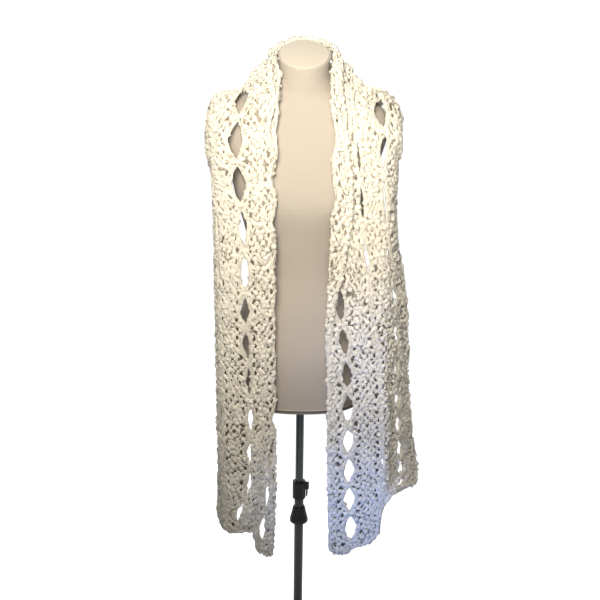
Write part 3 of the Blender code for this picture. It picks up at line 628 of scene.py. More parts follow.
def sweep(maker: MeshMaker, centres: Array, side_on: Array, radius: Array | float,
          tones: Array | float = 0.5, sides: int = 6, closed: bool = False,
          rough: Array | float = 1.0) -> None:
    """Add round cords: a circle carried along each path, its plane square to the path.

    Args:
        maker: Where the cords go.
        centres: Points of the paths, as paths by points by three.
        side_on: A vector at each point that isn't along the path.
        radius: Radius at each point.
        tones: Tone at each point.
        sides: Corners of the circle.
        closed: Whether each path joins its own start.
        rough: Factor on the radius at each corner, as paths by points by sides.
    """
    paths, points = centres.shape[:2]
    if closed:
        tangent = unit(np.roll(centres, -1, axis=1) - np.roll(centres, 1, axis=1))
    else:
        tangent = unit(np.gradient(centres, axis=1))
    right = unit(np.cross(tangent, side_on))
    up = np.cross(right, tangent)
    angle = np.arange(sides) * math.tau / sides
    ring = (up[:, :, None] * np.cos(angle)[None, None, :, None]
            + np.cross(tangent, up)[:, :, None] * np.sin(angle)[None, None, :, None])
    radius = np.broadcast_to(radius, (paths, points))
    body = centres[:, :, None] + ring * (radius[:, :, None] * rough)[..., None]
    rows = points + 1 if closed else points
    quads = ring_faces(rows, sides)
    if closed:
        quads = quads % (points * sides)
    start = (np.arange(paths) * points * sides)[:, None, None]
    faces = [(quads[None] + start).reshape(-1, 4)]
    if not closed:
        first = np.arange(sides)[::-1][None, None]
        last = (np.arange(sides) + (points - 1) * sides)[None, None]
        faces += [(first + start).reshape(-1, sides), (last + start).reshape(-1, sides)]
    tones = np.broadcast_to(tones, (paths, points))
    maker.add(body, faces, np.repeat(tones.reshape(-1), sides))


def knob_shape() -> tuple[Array, Array]:
    """A ball of 24 quads: the points of a three by three by three block, moved out to radius one.

    Returns:
        The points, and the quads' corners.
    """
    steps = (-1, 0, 1)
    block = [(x, y, z) for x in steps for y in steps for z in steps if (x, y, z) != (0, 0, 0)]
    index = {point: number for number, point in enumerate(block)}
    quads = []
    for axis in range(3):
        for side in (-1, 1):
            for i in (-1, 0):
                for j in (-1, 0):
                    around = [(i, j), (i + 1, j), (i + 1, j + 1), (i, j + 1)][::side]
                    quads.append([index[tuple(np.roll((side, *pair), axis))] for pair in around])
    return unit(np.array(block, dtype=float)), np.array(quads)


KNOB_POINTS, KNOB_FACES = knob_shape()
KNOB_UNEVEN = (0.74, 1.20)
KNOB_LONG = 1.15
KNOB_FLAT = 0.82
KNOB_TONES = (0.78, 1.05)


def nubs(maker: MeshMaker, rng: np.random.Generator, centres: Array, normals: Array, size: Array) -> None:
    """Add small uneven knobs of yarn: small balls, squashed along the cloth's normal.

    Args:
        maker: Where the knobs go.
        rng: Seeded source of their unevenness.
        centres: Their centres.
        normals: The cloth's normal at each.
        size: Radius of each.
    """
    count = len(centres)
    spin = unit(rng.normal(size=(count, 3)))
    a = unit(np.cross(normals, spin))
    b = np.cross(normals, a)
    sides = len(KNOB_POINTS)
    uneven = KNOB_POINTS[None] * rng.uniform(*KNOB_UNEVEN, (count, sides, 1))
    reach = size[:, None, None]
    points = centres[:, None] + reach * (uneven[..., :1] * a[:, None] * KNOB_LONG
                                         + uneven[..., 1:2] * b[:, None]
                                         + uneven[..., 2:] * normals[:, None] * KNOB_FLAT)
    faces = (KNOB_FACES[None] + (np.arange(count) * sides)[:, None, None]).reshape(-1, 4)
    maker.add(points, [faces], np.repeat(rng.uniform(*KNOB_TONES, count), sides))


# Scarf


@dataclass
class LaceLayout:
    """Where the strips, diamonds, eyelets and edges of the lace lie."""

    diamond_half: float = 0.0148
    strip_gap: float = 0.0020
    knot_share: float = 0.12
    point: float = 0.86
    scallop: float = 0.0030
    scallop_reach: float = 0.3
    eyelet_half: float = 0.0011
    eyelet_push: float = 0.0040
    eyelet_upper: float = 0.70
    eyelet_reach: float = 0.0060
    eyelets_per_pitch: float = 4.0
    columns: tuple[int, ...] = (3, 5, 5, 4)
    eyelet_posts: tuple[tuple[int, ...], ...] = ((2,), (1, 4), (1, 4), (1, 3))

    def half(self, k: Array) -> Array:
        """Half width of a diamond: a sine and a straight slope mixed, raised to a power.

        Args:
            k: Pitches.

        Returns:
            Half width at each, nothing near each whole pitch.
        """
        wave = np.abs(np.sin(math.pi * k))
        wave = 0.5 * wave + np.arcsin(np.clip(wave, 0.0, 1.0)) / math.pi
        open_share = np.clip((wave - self.knot_share) / (1.0 - self.knot_share), 0.0, 1.0)
        return self.diamond_half * open_share ** self.point

    def swell(self, k: Array) -> Array:
        """How far the edges stand out near each whole pitch."""
        return self.scallop * np.clip(1.0 - np.abs(k - np.round(k)) / self.scallop_reach, 0.0, 1.0)

    def strip(self, index: int, k: Array) -> tuple[Array, Array]:
        """Inner and outer side of one of the four dense strips.

        Args:
            index: The strip, counted from the inner edge.
            k: Pitches.

        Returns:
            Distances across of both sides at each pitch.
        """
        gap = np.maximum(self.half(k), self.strip_gap)
        start = -self.swell(k) if index == 0 else DIAMOND_COLUMNS[index - 1] + gap
        end = SCARF_WIDTH + self.swell(k) if index == 3 else DIAMOND_COLUMNS[index] - gap
        return start, end

    def between(self, index: int, k: Array, v: Array) -> Array:
        """Distance across at a share v of a strip's own width."""
        start, end = self.strip(index, k)
        return start + (end - start) * v

    def eyelets(self, index: int, k: Array) -> list[Array]:
        """Distances across of the columns of small holes in a strip, each between two posts."""
        start, end = self.strip(index, k)
        return [start + (end - start) * post / self.columns[index] for post in self.eyelet_posts[index]]

    def from_eyelet(self, k: Array) -> Array:
        """Distance along the scarf from the nearest row of small holes, negative before it."""
        rows = k * self.eyelets_per_pitch
        return (rows - np.round(rows)) * PITCH / self.eyelets_per_pitch

    def spread(self, k: Array, u: Array) -> tuple[Array, Array]:
        """Push yarn out of the small holes, by a bell over the distance from each.

        Args:
            k: Pitches.
            u: Distances across the cloth.

        Returns:
            Both, with the yarn moved out of the holes.
        """
        for index in range(4):
            for centre in self.eyelets(index, k):
                near = self.from_eyelet(k)
                away = u - centre
                distance = np.sqrt(near**2 + away**2) + 1e-6
                wide = 1.0 + (self.eyelet_upper - 1.0) * upper_share(k)
                push = self.eyelet_push * wide * np.exp(-(distance / self.eyelet_reach) ** 2)
                k = k + near / distance * push / PITCH
                u = u + away / distance * push
        return k, u


@dataclass
class YarnSizes:
    """Radii of the yarn's runs, in metres, and how uneven they are."""

    stitch: float = 0.0031
    chain: float = 0.0024
    border: float = 0.0025
    edge: float = 0.0031
    knob: float = 0.0053
    curl: float = 0.00115
    uneven: float = 0.46
    thinnest: float = 0.56
    thickest: float = 1.72
    nubby: float = 0.44


@dataclass
class NetSizes:
    """The backing net, painted shade between the stitches: its cells and wall, and its tones from the dark
    eyelets to plain cloth.
    """

    rows_per_pitch: int = 16
    cell: float = 0.0070
    wall: float = 0.0016
    knot_reach: float = 0.07
    hole_reach: float = 0.0045
    tone: float = 0.25
    tone_upper: float = 0.62
    hole_upper: float = 0.42


@dataclass
class StitchSizes:
    """The dense strips' posts, chains and heads.

    Drifts are spreads along, across and off the cloth, as far as each piece has them. A tone is its
    middle, its change and its unevenness, and the chain's lift is its middle and its wave. The tones
    carry painted shade: the posts darken where they dip and lighten where they stand out, and the
    chains between the rows are dark, lighter on the shoulders. The heads' span, lift and size are least
    and most.
    """

    post_points: int = 6
    post_swing: float = 0.56
    post_lift: float = 0.0013
    post_drift: tuple[float, float, float] = (0.0015, 0.0013, 0.0013)
    post_tone: tuple[float, float, float] = (0.84, 0.14, 0.16)
    chain_points: int = 3
    chain_swing: float = 0.10
    chain_lift: tuple[float, float] = (-0.0012, 0.0006)
    chain_drift: tuple[float, float] = (0.0012, 0.0005)
    chain_tone: tuple[float, float, float] = (0.14, 0.42, 0.12)
    head_row: float = 1.02
    head_span: tuple[float, float] = (0.02, 0.99)
    head_drift: tuple[float, float] = (0.0020, 0.0016)
    head_lift: tuple[float, float] = (0.0008, 0.0030)
    head_size: tuple[float, float] = (0.55, 1.25)


@dataclass
class BorderSizes:
    """Cords and knobs round the diamonds, along the edges and at the hems.

    Pairs are least and most. But drifts are spreads along the scarf and across or off it, the lifts of
    edge and hem knobs are middle and spread, and the hem's inset is the first cord's and what the
    second one adds, in pitches.
    """

    points_per_pitch: int = 15
    cord_lift: float = 0.0008
    cord_drift: float = 0.0006
    cord_tone: float = 0.7
    crossing_lift: float = 0.0022
    crossing_reach: float = 0.5
    inner_half: float = 0.0045
    inner_out: float = 0.0042
    inner_lift: float = 0.0006
    inner_drift: float = 0.0008
    inner_tone: float = 0.55
    edge_swell: float = 1.5
    edge_layer: float = 0.0030
    edge_lift: float = 0.0018
    edge_layer_lift: float = 0.0034
    edge_waves: float = 19.0
    edge_drift: float = 0.0010
    edge_tone: float = 0.6
    knot_turns: tuple[tuple[float, float], ...] = ((-1.0, 0.0026), (1.0, 0.0034))
    knot_half: tuple[float, float] = (0.0085, 0.0125)
    knot_slope: tuple[float, float] = (0.02, 0.07)
    knot_points: int = 9
    knot_tone: float = 0.8
    knot_knob_apart: float = 0.0055
    knot_knob_drift: tuple[float, float] = (0.02, 0.0010)
    knot_knob_lift: tuple[float, float] = (0.0018, 0.0034)
    knot_knob_size: tuple[float, float] = (0.0032, 0.0046)
    edge_knob_steps: tuple[float, ...] = (-0.41, -0.30, -0.20, -0.10, -0.04, 0.03, 0.09, 0.19, 0.31, 0.42)
    edge_knob_out: float = 0.0048
    edge_knob_dip: float = 0.18
    edge_knob_least: float = 0.0015
    edge_knob_drift: tuple[float, float] = (0.012, 0.0012)
    edge_knob_lift: tuple[float, float] = (0.0006, 0.0016)
    edge_knob_size: tuple[float, float] = (0.0034, 0.0070)
    hem_points: int = 131
    hem_knots: int = 60
    hem_wave: float = 0.03
    hem_wave_length: float = 0.0139
    hem_inset: tuple[float, float] = (0.01, 0.075)
    hem_drift: tuple[float, float] = (0.0008, 0.0010)
    hem_knob_apart: float = 0.0068
    hem_knob_place: tuple[float, float] = (-0.03, 0.02)
    hem_knob_lift: tuple[float, float] = (0.0008, 0.0012)
    hem_knob_size: tuple[float, float] = (0.0028, 0.0042)


@dataclass
class CurlSizes:
    """Loose curls of fine yarn: how many, on which strips, how large. Pairs are least and most."""

    each_pitch: int = 180
    strip_shares: tuple[float, ...] = (0.17, 0.30, 0.28, 0.25)
    across: tuple[float, float] = (-0.02, 1.02)
    border_share: float = 0.20
    border_out: float = 0.003
    back_share: float = 0.28
    lift: tuple[float, float] = (0.0012, 0.0030)
    wide: tuple[float, float] = (0.0016, 0.0038)
    tall: tuple[float, float] = (0.0012, 0.0034)
    half_turns: float = 1.12
    points: int = 5
    thickness: tuple[float, float] = (0.8, 1.4)
    tone: float = 0.9
    ahead: float = 0.02
    lean: float = 0.05


@dataclass
class ScarfStretch:
    """One stretch of the scarf: its backing net, stitches, border cords and loose curls."""

    stretch: Stretch
    cloth: DrapedCloth
    lace: LaceLayout
    seed: int
    yarn: YarnSizes = field(default_factory=YarnSizes)
    net_sizes: NetSizes = field(default_factory=NetSizes)
    stitches: StitchSizes = field(default_factory=StitchSizes)
    border: BorderSizes = field(default_factory=BorderSizes)
    curl: CurlSizes = field(default_factory=CurlSizes)

    def __post_init__(self) -> None:
        """Seed the stretch's own source of unevenness and number its rows of stitches."""
        self.rng = np.random.default_rng(self.seed)
        self.flat_area = 0.0
        self.first, self.last = self.stretch.span
        self.rows = np.arange(math.ceil(self.first * ROWS_PER_PITCH - 0.01),
                              math.floor(self.last * ROWS_PER_PITCH + 0.01))
        self.odd = np.mod(self.rows, 2)[:, None]

    def name(self, piece: str) -> str:
        """Name of one of this stretch's pieces."""
        return f"scarf_{self.stretch.label}_{piece}"

    def uneven_radius(self, size: float, shape: tuple[int, int]) -> Array:
        """A cord's radius at each point: its own size times a soft random factor.

        Args:
            size: The cord's own radius.
            shape: Paths by points.

        Returns:
            An array of that shape.
        """
        rough = self.rng.normal(1.0, self.yarn.uneven, shape)
        return size * np.clip(0.6 * rough + 0.4 * np.roll(rough, 1, axis=1),
                              self.yarn.thinnest, self.yarn.thickest)

    def lay(self, maker: MeshMaker, k: Array, u: Array, lift: Array, size: float, tone: Array | float,
            sides: int = 5, opened: bool = True) -> None:
        """Lay cords on the draped cloth.

        Args:
            maker: Where the cords go.
            k: Pitches of the paths, as paths by points.
            u: Distances across.
            lift: Heights off the cloth.
            size: The cords' own radius.
            tone: Tone at each point.
            sides: Corners of a cord's circle.
            opened: Whether the small holes push the cords aside.
        """
        radius = self.uneven_radius(size, k.shape)
        if opened:
            k, u = self.lace.spread(k, u)
        points, normals = self.cloth.at(k, u, lift)
        rough = self.rng.uniform(1.0 - self.yarn.nubby, 1.0 + self.yarn.nubby, (*k.shape, sides))
        sweep(maker, points, normals, radius, tone, sides, rough=rough)

    def set_knobs(self, maker: MeshMaker, k: Array, u: Array, lift: Array, sizes: tuple[float, float],
                  scale: float = 1.0) -> None:
        """Set knobs of yarn on the draped cloth.

        Args:
            maker: Where the knobs go.
            k: Pitches.
            u: Distances across.
            lift: Heights off the cloth.
            sizes: Least and most radius.
            scale: Factor on both.
        """
        centres, normals = self.cloth.at(k, u, lift)
        nubs(maker, self.rng, centres, normals, scale * self.rng.uniform(*sizes, k.shape))

    def drift(self, points: int, knots: int, size: float) -> Array:
        """Soft random offsets for one path in each row of stitches."""
        return wobble(self.rng, len(self.rows), points, knots, size)

    def _net_columns(self, lines: Array) -> tuple[Array, Array]:
        """Lines along the net, and what lies between each and the next.

        Args:
            lines: Pitches of the net's rows.

        Returns:
            Distances across, as rows by lines, and a word for each gap: cloth, eyelet or diamond.
        """
        columns, kinds = [], []
        for index in range(4):
            start, end = self.lace.strip(index, lines)
            stops, parts_of = [start], []
            for centre in self.lace.eyelets(index, lines):
                stops += [centre - self.lace.eyelet_half, centre + self.lace.eyelet_half]
                parts_of += ["cloth", "eyelet"]
            stops.append(end)
            parts_of.append("cloth")
            for low, high, kind in zip(stops[:-1], stops[1:], parts_of):
                width = float(np.mean(high - low))
                parts = max(1, round(width / self.net_sizes.cell)) if kind == "cloth" else 1
                for part in range(parts):
                    columns.append(low + (high - low) * part / parts)
                    kinds.append(kind)
            columns.append(end)
            kinds.append("diamond")
        return np.stack(columns, axis=-1), np.array(kinds[:-1])

    def net(self, material: bpy.types.Material) -> bpy.types.Object:
        """The cloth's thin backing, a dark sheet of painted shade between the stitches: a grid of cells with
        the diamonds left out and the eyelets painted darkest.

        Args:
            material: The backing's finish, painted shade deep between the stitches.

        Returns:
            The new piece.
        """
        size = self.net_sizes
        steps = round((self.last - self.first) * size.rows_per_pitch)
        lines = np.linspace(self.first, self.last, steps + 1)
        across, kind = self._net_columns(lines)
        k = np.repeat(lines[:, None], across.shape[1], axis=1)
        points, _ = self.cloth.at(k, across, 0.0)
        middle = 0.5 * (lines[1:] + lines[:-1])
        past_knot = np.abs(middle - np.round(middle)) > size.knot_reach
        keep = ~((kind == "diamond")[None] & past_knot[:, None])
        i, j = np.nonzero(keep)
        wide = across.shape[1]
        start = i * wide + j
        quads = np.stack([start, start + 1, start + wide + 1, start + wide], axis=-1)
        used, quads = np.unique(quads, return_inverse=True)
        in_hole = np.abs(self.lace.from_eyelet(middle)) < size.hole_reach
        eyelet_shade = (kind == "eyelet")[None] & in_hole[:, None]
        # Painted shade: the net is toned dark, lighter on the shoulders, and the eyelets, which stay closed,
        # darker still.
        tone = size.tone + size.tone_upper * upper_share(k)
        dark = size.hole_upper * upper_share(k)
        for row, column in ((0, 0), (0, 1), (1, 0), (1, 1)):
            corner = slice(row, row + steps), slice(column, column + len(kind))
            tone[corner][eyelet_shade] = dark[corner][eyelet_shade]
        maker = MeshMaker()
        maker.add(points.reshape(-1, 3)[used], [quads.reshape(-1, 4)], tone.reshape(-1)[used])
        cells = np.diff(across, axis=1)
        self.flat_area = float(np.sum(0.5 * (cells[1:] + cells[:-1]) * keep)
                               * (self.last - self.first) / steps * PITCH)
        item = maker.make(self.name("net"), material)
        wall = item.modifiers.new("wall", "SOLIDIFY")
        wall.thickness = size.wall
        wall.offset = 0.0
        wall.use_rim = True
        return item

    def _posts(self, maker: MeshMaker, index: int) -> None:
        """Rows of V-shaped posts: a cosine swing along the scarf, turned over in every other row.

        Args:
            maker: Where the posts go.
            index: The strip, counted from the inner edge.
        """
        size, count = self.stitches, self.lace.columns[index]
        points = count * size.post_points + 1
        v = np.linspace(0.0, 1.0, points)[None]
        swing = np.cos(math.tau * count * v + math.pi * self.odd)
        k = (self.rows[:, None] + 0.5 + size.post_swing * swing) / ROWS_PER_PITCH
        k = k + self.drift(points, count * 2, size.post_drift[0]) / PITCH
        u = self.lace.between(index, k, v) + self.drift(points, count * 2, size.post_drift[1])
        lift = size.post_lift * swing + self.drift(points, count * 2, size.post_drift[2])
        # Painted shade: the posts' tone follows their swing, darker where they dip and lighter where they
        # stand out.
        middle, change, uneven = size.post_tone
        tone = middle + change * swing + self.drift(points, count, uneven)
        self.lay(maker, k, u, lift, self.yarn.stitch, tone)

    def _chains(self, maker: MeshMaker, index: int) -> None:
        """A chain over each row of posts: two sine waves along the scarf for each V.

        Args:
            maker: Where the chains go.
            index: The strip, counted from the inner edge.
        """
        size, count = self.stitches, self.lace.columns[index]
        points = count * size.chain_points + 1
        v = np.linspace(0.0, 1.0, points)[None]
        beat = 2.0 * math.tau * count * v
        k = (self.rows[:, None] + 1.0 + size.chain_swing * np.sin(beat)) / ROWS_PER_PITCH
        k = k + self.drift(points, count * 2, size.chain_drift[0]) / PITCH
        u = self.lace.between(index, k, v)
        low, wave = size.chain_lift
        lift = low + wave * np.cos(beat) + self.drift(points, count * 2, size.chain_drift[1])
        # Painted shade: the chains lie low between the rows and are toned dark, lighter on the shoulders.
        plain, upper, uneven = size.chain_tone
        tone = plain + upper * upper_share(k) + self.drift(points, count, uneven)
        self.lay(maker, k, u, lift, self.yarn.chain, tone, 4)

    def _heads(self, maker: MeshMaker, index: int) -> None:
        """A knob on the head of each V, half a stitch aside in every other row.

        Args:
            maker: Where the knobs go.
            index: The strip, counted from the inner edge.
        """
        size, count = self.stitches, self.lace.columns[index]
        v = (np.arange(count + 1)[None] - 0.5 * self.odd) / count
        inside = (v > size.head_span[0]) & (v < size.head_span[1])
        k = np.broadcast_to((self.rows[:, None] + size.head_row) / ROWS_PER_PITCH, v.shape)[inside]
        k = k + self.rng.normal(0.0, size.head_drift[0], k.shape) / PITCH
        u = self.lace.between(index, k, v[inside]) + self.rng.normal(0.0, size.head_drift[1], k.shape)
        k, u = self.lace.spread(k, u)
        lift = self.rng.uniform(*size.head_lift, k.shape)
        self.set_knobs(maker, k, u, lift, size.head_size, self.yarn.knob)

    def strip(self, index: int, material: bpy.types.Material) -> bpy.types.Object:
        """The stitches of one dense strip: rows of V-shaped posts, a chain over each, and heads.

        Args:
            index: The strip, counted from the inner edge.
            material: The yarn's finish.

        Returns:
            The new piece.
        """
        maker = MeshMaker()
        self._posts(maker, index)
        self._chains(maker, index)
        self._heads(maker, index)
        return maker.make(self.name(f"strip_{'abcd'[index]}"), material)

    def cords(self, material: bpy.types.Material) -> bpy.types.Object:
        """Cords round the diamonds that cross at each whole pitch, knots there, and the edges.

        Args:
            material: The yarn's finish.

        Returns:
            The new piece.
        """
        size = self.border
        points = round((self.last - self.first) * size.points_per_pitch) + 1
        line = np.linspace(self.first, self.last, points)[None]
        maker = MeshMaker()
        for centre in DIAMOND_COLUMNS:
            swing = np.sin(math.pi * line)
            reach = self.lace.half(line) * np.sign(swing)
            crossing = np.exp(-(swing / size.crossing_reach) ** 2)
            for sign in (-1.0, 1.0):
                drift = wobble(self.rng, 1, points, points // 4, size.cord_drift)
                lift = size.cord_lift + size.crossing_lift * sign * np.cos(math.pi * line) * crossing
                self.lay(maker, line, centre + sign * reach + drift, lift, self.yarn.border,
                         size.cord_tone, 6, False)
                inner = np.maximum(self.lace.half(line), size.inner_half) + size.inner_out
                drift = wobble(self.rng, 1, points, points // 3, size.inner_drift)
                self.lay(maker, line, centre + sign * inner + drift, size.inner_lift + 2.0 * drift,
                         self.yarn.border, size.inner_tone, 6)
        for edge, out in SCARF_EDGES:
            for layer in (0.0, 1.0):
                drift = wobble(self.rng, 1, points, points // 2, size.edge_drift)
                u = edge + out * (self.lace.swell(line) * size.edge_swell + drift - size.edge_layer * layer)
                lift = size.edge_lift - size.edge_layer_lift * layer
                lift = lift * np.sin(line * size.edge_waves + 2.0 * layer) + 0.5 * drift
                self.lay(maker, line, u, lift, self.yarn.edge, size.edge_tone, 6, False)
        self._knots(maker)
        if self.stretch is not Stretch.BACK:
            self._hem(maker)
        return maker.make(self.name("cords"), material)

    def _knots(self, maker: MeshMaker) -> None:
        """Bulky knots between diamonds, each a cord across and a few knobs, and knobs on the edges.

        Args:
            maker: Where the knots go.
        """
        size = self.border
        whole = np.arange(math.ceil(self.first), math.floor(self.last) + 1).astype(float)
        for centre in DIAMOND_COLUMNS:
            for turn, rise in size.knot_turns:
                v = np.linspace(-1.0, 1.0, size.knot_points)[None]
                half = self.rng.uniform(*size.knot_half, (len(whole), 1))
                k = whole[:, None] + turn * v * self.rng.uniform(*size.knot_slope, (len(whole), 1))
                lift = np.broadcast_to(rise * np.cos(0.5 * math.pi * v), k.shape)
                self.lay(maker, k, centre + v * half, lift, self.yarn.border, size.knot_tone, 5, False)
            for side in (-1.0, 0.0, 1.0):
                k = whole + self.rng.normal(0.0, size.knot_knob_drift[0], whole.shape)
                u = centre + side * size.knot_knob_apart
                u = u + self.rng.normal(0.0, size.knot_knob_drift[1], whole.shape)
                lift = self.rng.uniform(*size.knot_knob_lift, whole.shape)
                self.set_knobs(maker, k, u, lift, size.knot_knob_size)
        for edge, out in SCARF_EDGES:
            for step in size.edge_knob_steps:
                k = whole + step + self.rng.normal(0.0, size.edge_knob_drift[0], whole.shape)
                k = np.clip(k, self.first, self.last)
                u = edge + out * max(size.edge_knob_out - size.edge_knob_dip * step**2, size.edge_knob_least)
                u = u + self.rng.normal(0.0, size.edge_knob_drift[1], whole.shape)
                lift = self.rng.normal(*size.edge_knob_lift, whole.shape)
                self.set_knobs(maker, k, u, lift, size.edge_knob_size)

    def _hem(self, maker: MeshMaker) -> None:
        """Two cords and a row of knobs along the end, in shallow waves.

        Args:
            maker: Where the hem goes.
        """
        size = self.border
        end = self.first if self.stretch is Stretch.LEFT else self.last
        out = math.copysign(1.0, end)
        points, knots = size.hem_points, size.hem_knots
        u = np.linspace(0.0, SCARF_WIDTH, points)[None]
        for layer in (0.0, 1.0):
            wave = size.hem_wave * np.abs(np.sin(math.pi * (u - 0.002) / size.hem_wave_length + layer))
            k = end + out * (wave - size.hem_inset[0] - size.hem_inset[1] * layer)
            k = k + wobble(self.rng, 1, points, knots, size.hem_drift[0]) / PITCH
            lift = wobble(self.rng, 1, points, knots, size.hem_drift[1])
            self.lay(maker, k, u, lift, self.yarn.edge, size.edge_tone, 6, False)
        u = np.arange(0.003, SCARF_WIDTH, size.hem_knob_apart)
        k = end + out * self.rng.uniform(*size.hem_knob_place, u.shape)
        self.set_knobs(maker, k, u, self.rng.normal(*size.hem_knob_lift, u.shape), size.hem_knob_size)

    def curls(self, material: bpy.types.Material) -> bpy.types.Object:
        """Loose curls of fine yarn: small half circles that stand off the cloth at all angles.

        Args:
            material: The yarn's finish.

        Returns:
            The new piece.
        """
        size = self.curl
        count = round((self.last - self.first) * size.each_pitch)
        k = self.rng.uniform(self.first, self.last, count)
        strip = self.rng.choice(4, count, p=size.strip_shares)
        sides = [self.lace.strip(index, k) for index in range(4)]
        start = np.choose(strip, [side[0] for side in sides])
        end = np.choose(strip, [side[1] for side in sides])
        u = start + (end - start) * self.rng.uniform(*size.across, count)
        border = self.rng.random(count) < size.border_share
        inner = self.rng.random(count) < 0.5
        u = np.where(border, np.where(inner, -size.border_out, SCARF_WIDTH + size.border_out), u)
        k, u = self.lace.spread(k, u)
        back = np.where(self.rng.random(count) < size.back_share, -1.0, 1.0)
        centres, normals = self.cloth.at(k, u, back * self.rng.uniform(*size.lift, count))
        ahead, _ = self.cloth.at(k + size.ahead, u, 0.0)
        here, _ = self.cloth.at(k, u, 0.0)
        along = unit(ahead - here)
        across = np.cross(normals, along)
        turn = self.rng.uniform(0.0, math.tau, count)[:, None]
        direction = along * np.cos(turn) + across * np.sin(turn)
        outward = read_grid(self.cloth.outward, k, u, self.cloth.k, self.cloth.u)
        outward = unit(outward + size.lean * normals) * back[:, None]
        wide = self.rng.uniform(*size.wide, count)[:, None, None]
        tall = self.rng.uniform(*size.tall, count)[:, None, None]
        angle = np.linspace(0.0, math.pi * size.half_turns, size.points)[None, :, None]
        path = (centres[:, None] - direction[:, None] * np.cos(angle) * wide
                + outward[:, None] * np.sin(angle) * tall)
        plane = np.broadcast_to(np.cross(direction, outward)[:, None], path.shape)
        maker = MeshMaker()
        radius = self.yarn.curl * self.rng.uniform(*size.thickness, (count, 1))
        sweep(maker, path, plane, radius, size.tone, 4)
        return maker.make(self.name("curls"), material)

    def build(self, material: bpy.types.Material, inner: bpy.types.Material) -> list[bpy.types.Object]:
        """Args:
            material: The yarn's finish.
            inner: The finish of the backing net, painted shade deep between the stitches.

        Returns:
            The pieces, the backing net first.
        """
        net = self.net(inner)
        rest = [self.strip(index, material) for index in range(4)]
        rest += [self.cords(material), self.curls(material)]
        for piece in [net, *rest]:
            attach(piece, Body.FORM.value)
        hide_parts(f"scarf_{self.stretch.label}")
        return [net, *rest]


# Finishes


@dataclass
class NodeBench:
    """Short calls for adding and joining the nodes of one tree."""

    tree: bpy.types.NodeTree

    def add(self, kind: str, **inputs: object) -> bpy.types.Node:
        """Add a node.

        Args:
            kind: Blender's name for the kind of node.
            inputs: Values; names with a capital letter set sockets, the others set properties.

        Returns:
            The new node.
        """
        node = self.tree.nodes.new(kind)
        for key, value in inputs.items():
            if key[0].isupper():
                node.inputs[key.replace("_", " ")].default_value = value
            else:
                setattr(node, key, value)
        return node

    def math(self, operation: str, first: object, second: object = None) -> bpy.types.NodeSocket:
        """Add a Math node.

        Args:
            operation: Blender's name for the operation.
            first: A socket or a number.
            second: A socket or a number, where the operation takes two.

        Returns:
            The node's output.
        """
        node = self.tree.nodes.new("ShaderNodeMath")
        node.operation = operation
        for slot, value in zip(node.inputs, (first, second)):
            if isinstance(value, bpy.types.NodeSocket):
                self.tree.links.new(value, slot)
            elif value is not None:
                slot.default_value = value
        return node.outputs[0]

    def join(self, source: bpy.types.NodeSocket, target: bpy.types.NodeSocket) -> None:
        """Link two sockets."""
        self.tree.links.new(source, target)


def new_group(name: str, inputs: dict[str, float],
              outputs: tuple[str, ...]) -> tuple[NodeBench, bpy.types.Node, bpy.types.Node]:
    """A shader node group with a coordinate input, number inputs and number outputs.

    Args:
        name: The group's name.
        inputs: Number inputs and their values.
        outputs: Names of the outputs.

    Returns:
        The bench, the group's input node and its output node.
    """
    tree = bpy.data.node_groups.new(name, "ShaderNodeTree")
    tree.interface.new_socket("Place", in_out="INPUT", socket_type="NodeSocketVector")
    for label, value in inputs.items():
        socket = tree.interface.new_socket(label, in_out="INPUT", socket_type="NodeSocketFloat")
        socket.default_value = value
    for label in outputs:
        tree.interface.new_socket(label, in_out="OUTPUT", socket_type="NodeSocketFloat")
    return NodeBench(tree), tree.nodes.new("NodeGroupInput"), tree.nodes.new("NodeGroupOutput")


def grain_group(cells_scale: float = 1.35, broad_scale: float = 0.045) -> bpy.types.NodeTree:
    """Grain for every cloth and coating: fine noise and cells for height, broad noise for tint.

    Args:
        cells_scale: The cells' scale as a share of the grain's.
        broad_scale: The broad noise's scale as a share of the grain's.

    Returns:
        The node group.
    """
    bench, entry, leave = new_group("grain", {"Scale": 400.0, "Cells": 0.4}, ("Height", "Tint"))
    scale = entry.outputs["Scale"]
    fine = bench.add("ShaderNodeTexNoise", Detail=4.0, Roughness=0.7)
    cells = bench.add("ShaderNodeTexVoronoi")
    broad = bench.add("ShaderNodeTexNoise", Detail=2.0)
    for node in (fine, cells, broad):
        bench.join(entry.outputs["Place"], node.inputs["Vector"])
    bench.join(scale, fine.inputs["Scale"])
    bench.join(bench.math("MULTIPLY", scale, cells_scale), cells.inputs["Scale"])
    bench.join(bench.math("MULTIPLY", scale, broad_scale), broad.inputs["Scale"])
    inside = bench.math("SUBTRACT", 1.0, cells.outputs["Distance"])
    lump = bench.math("MULTIPLY", inside, entry.outputs["Cells"])
    bench.join(bench.math("ADD", fine.outputs[0], lump), leave.inputs["Height"])
    bench.join(broad.outputs[0], leave.inputs["Tint"])
    return bench.tree


def knit_group(courses: float = 0.6) -> bpy.types.NodeTree:
    """Fine jersey knit: sine bands along height, crossed by sine bands round the form.

    Args:
        courses: Height of the bands along height beside the others.

    Returns:
        The node group.
    """
    bench, entry, leave = new_group("jersey", {"Scale": 900.0}, ("Height",))
    apart = bench.add("ShaderNodeSeparateXYZ")
    bench.join(entry.outputs["Place"], apart.inputs[0])
    across, depth, high = (
        bench.math("SINE", bench.math("MULTIPLY", apart.outputs[axis], entry.outputs["Scale"]))
        for axis in "XYZ")
    ribs = bench.math("MULTIPLY", bench.math("ADD", across, depth), 0.5)
    bench.join(bench.math("ADD", ribs, bench.math("MULTIPLY", high, courses)), leave.inputs["Height"])
    return bench.tree


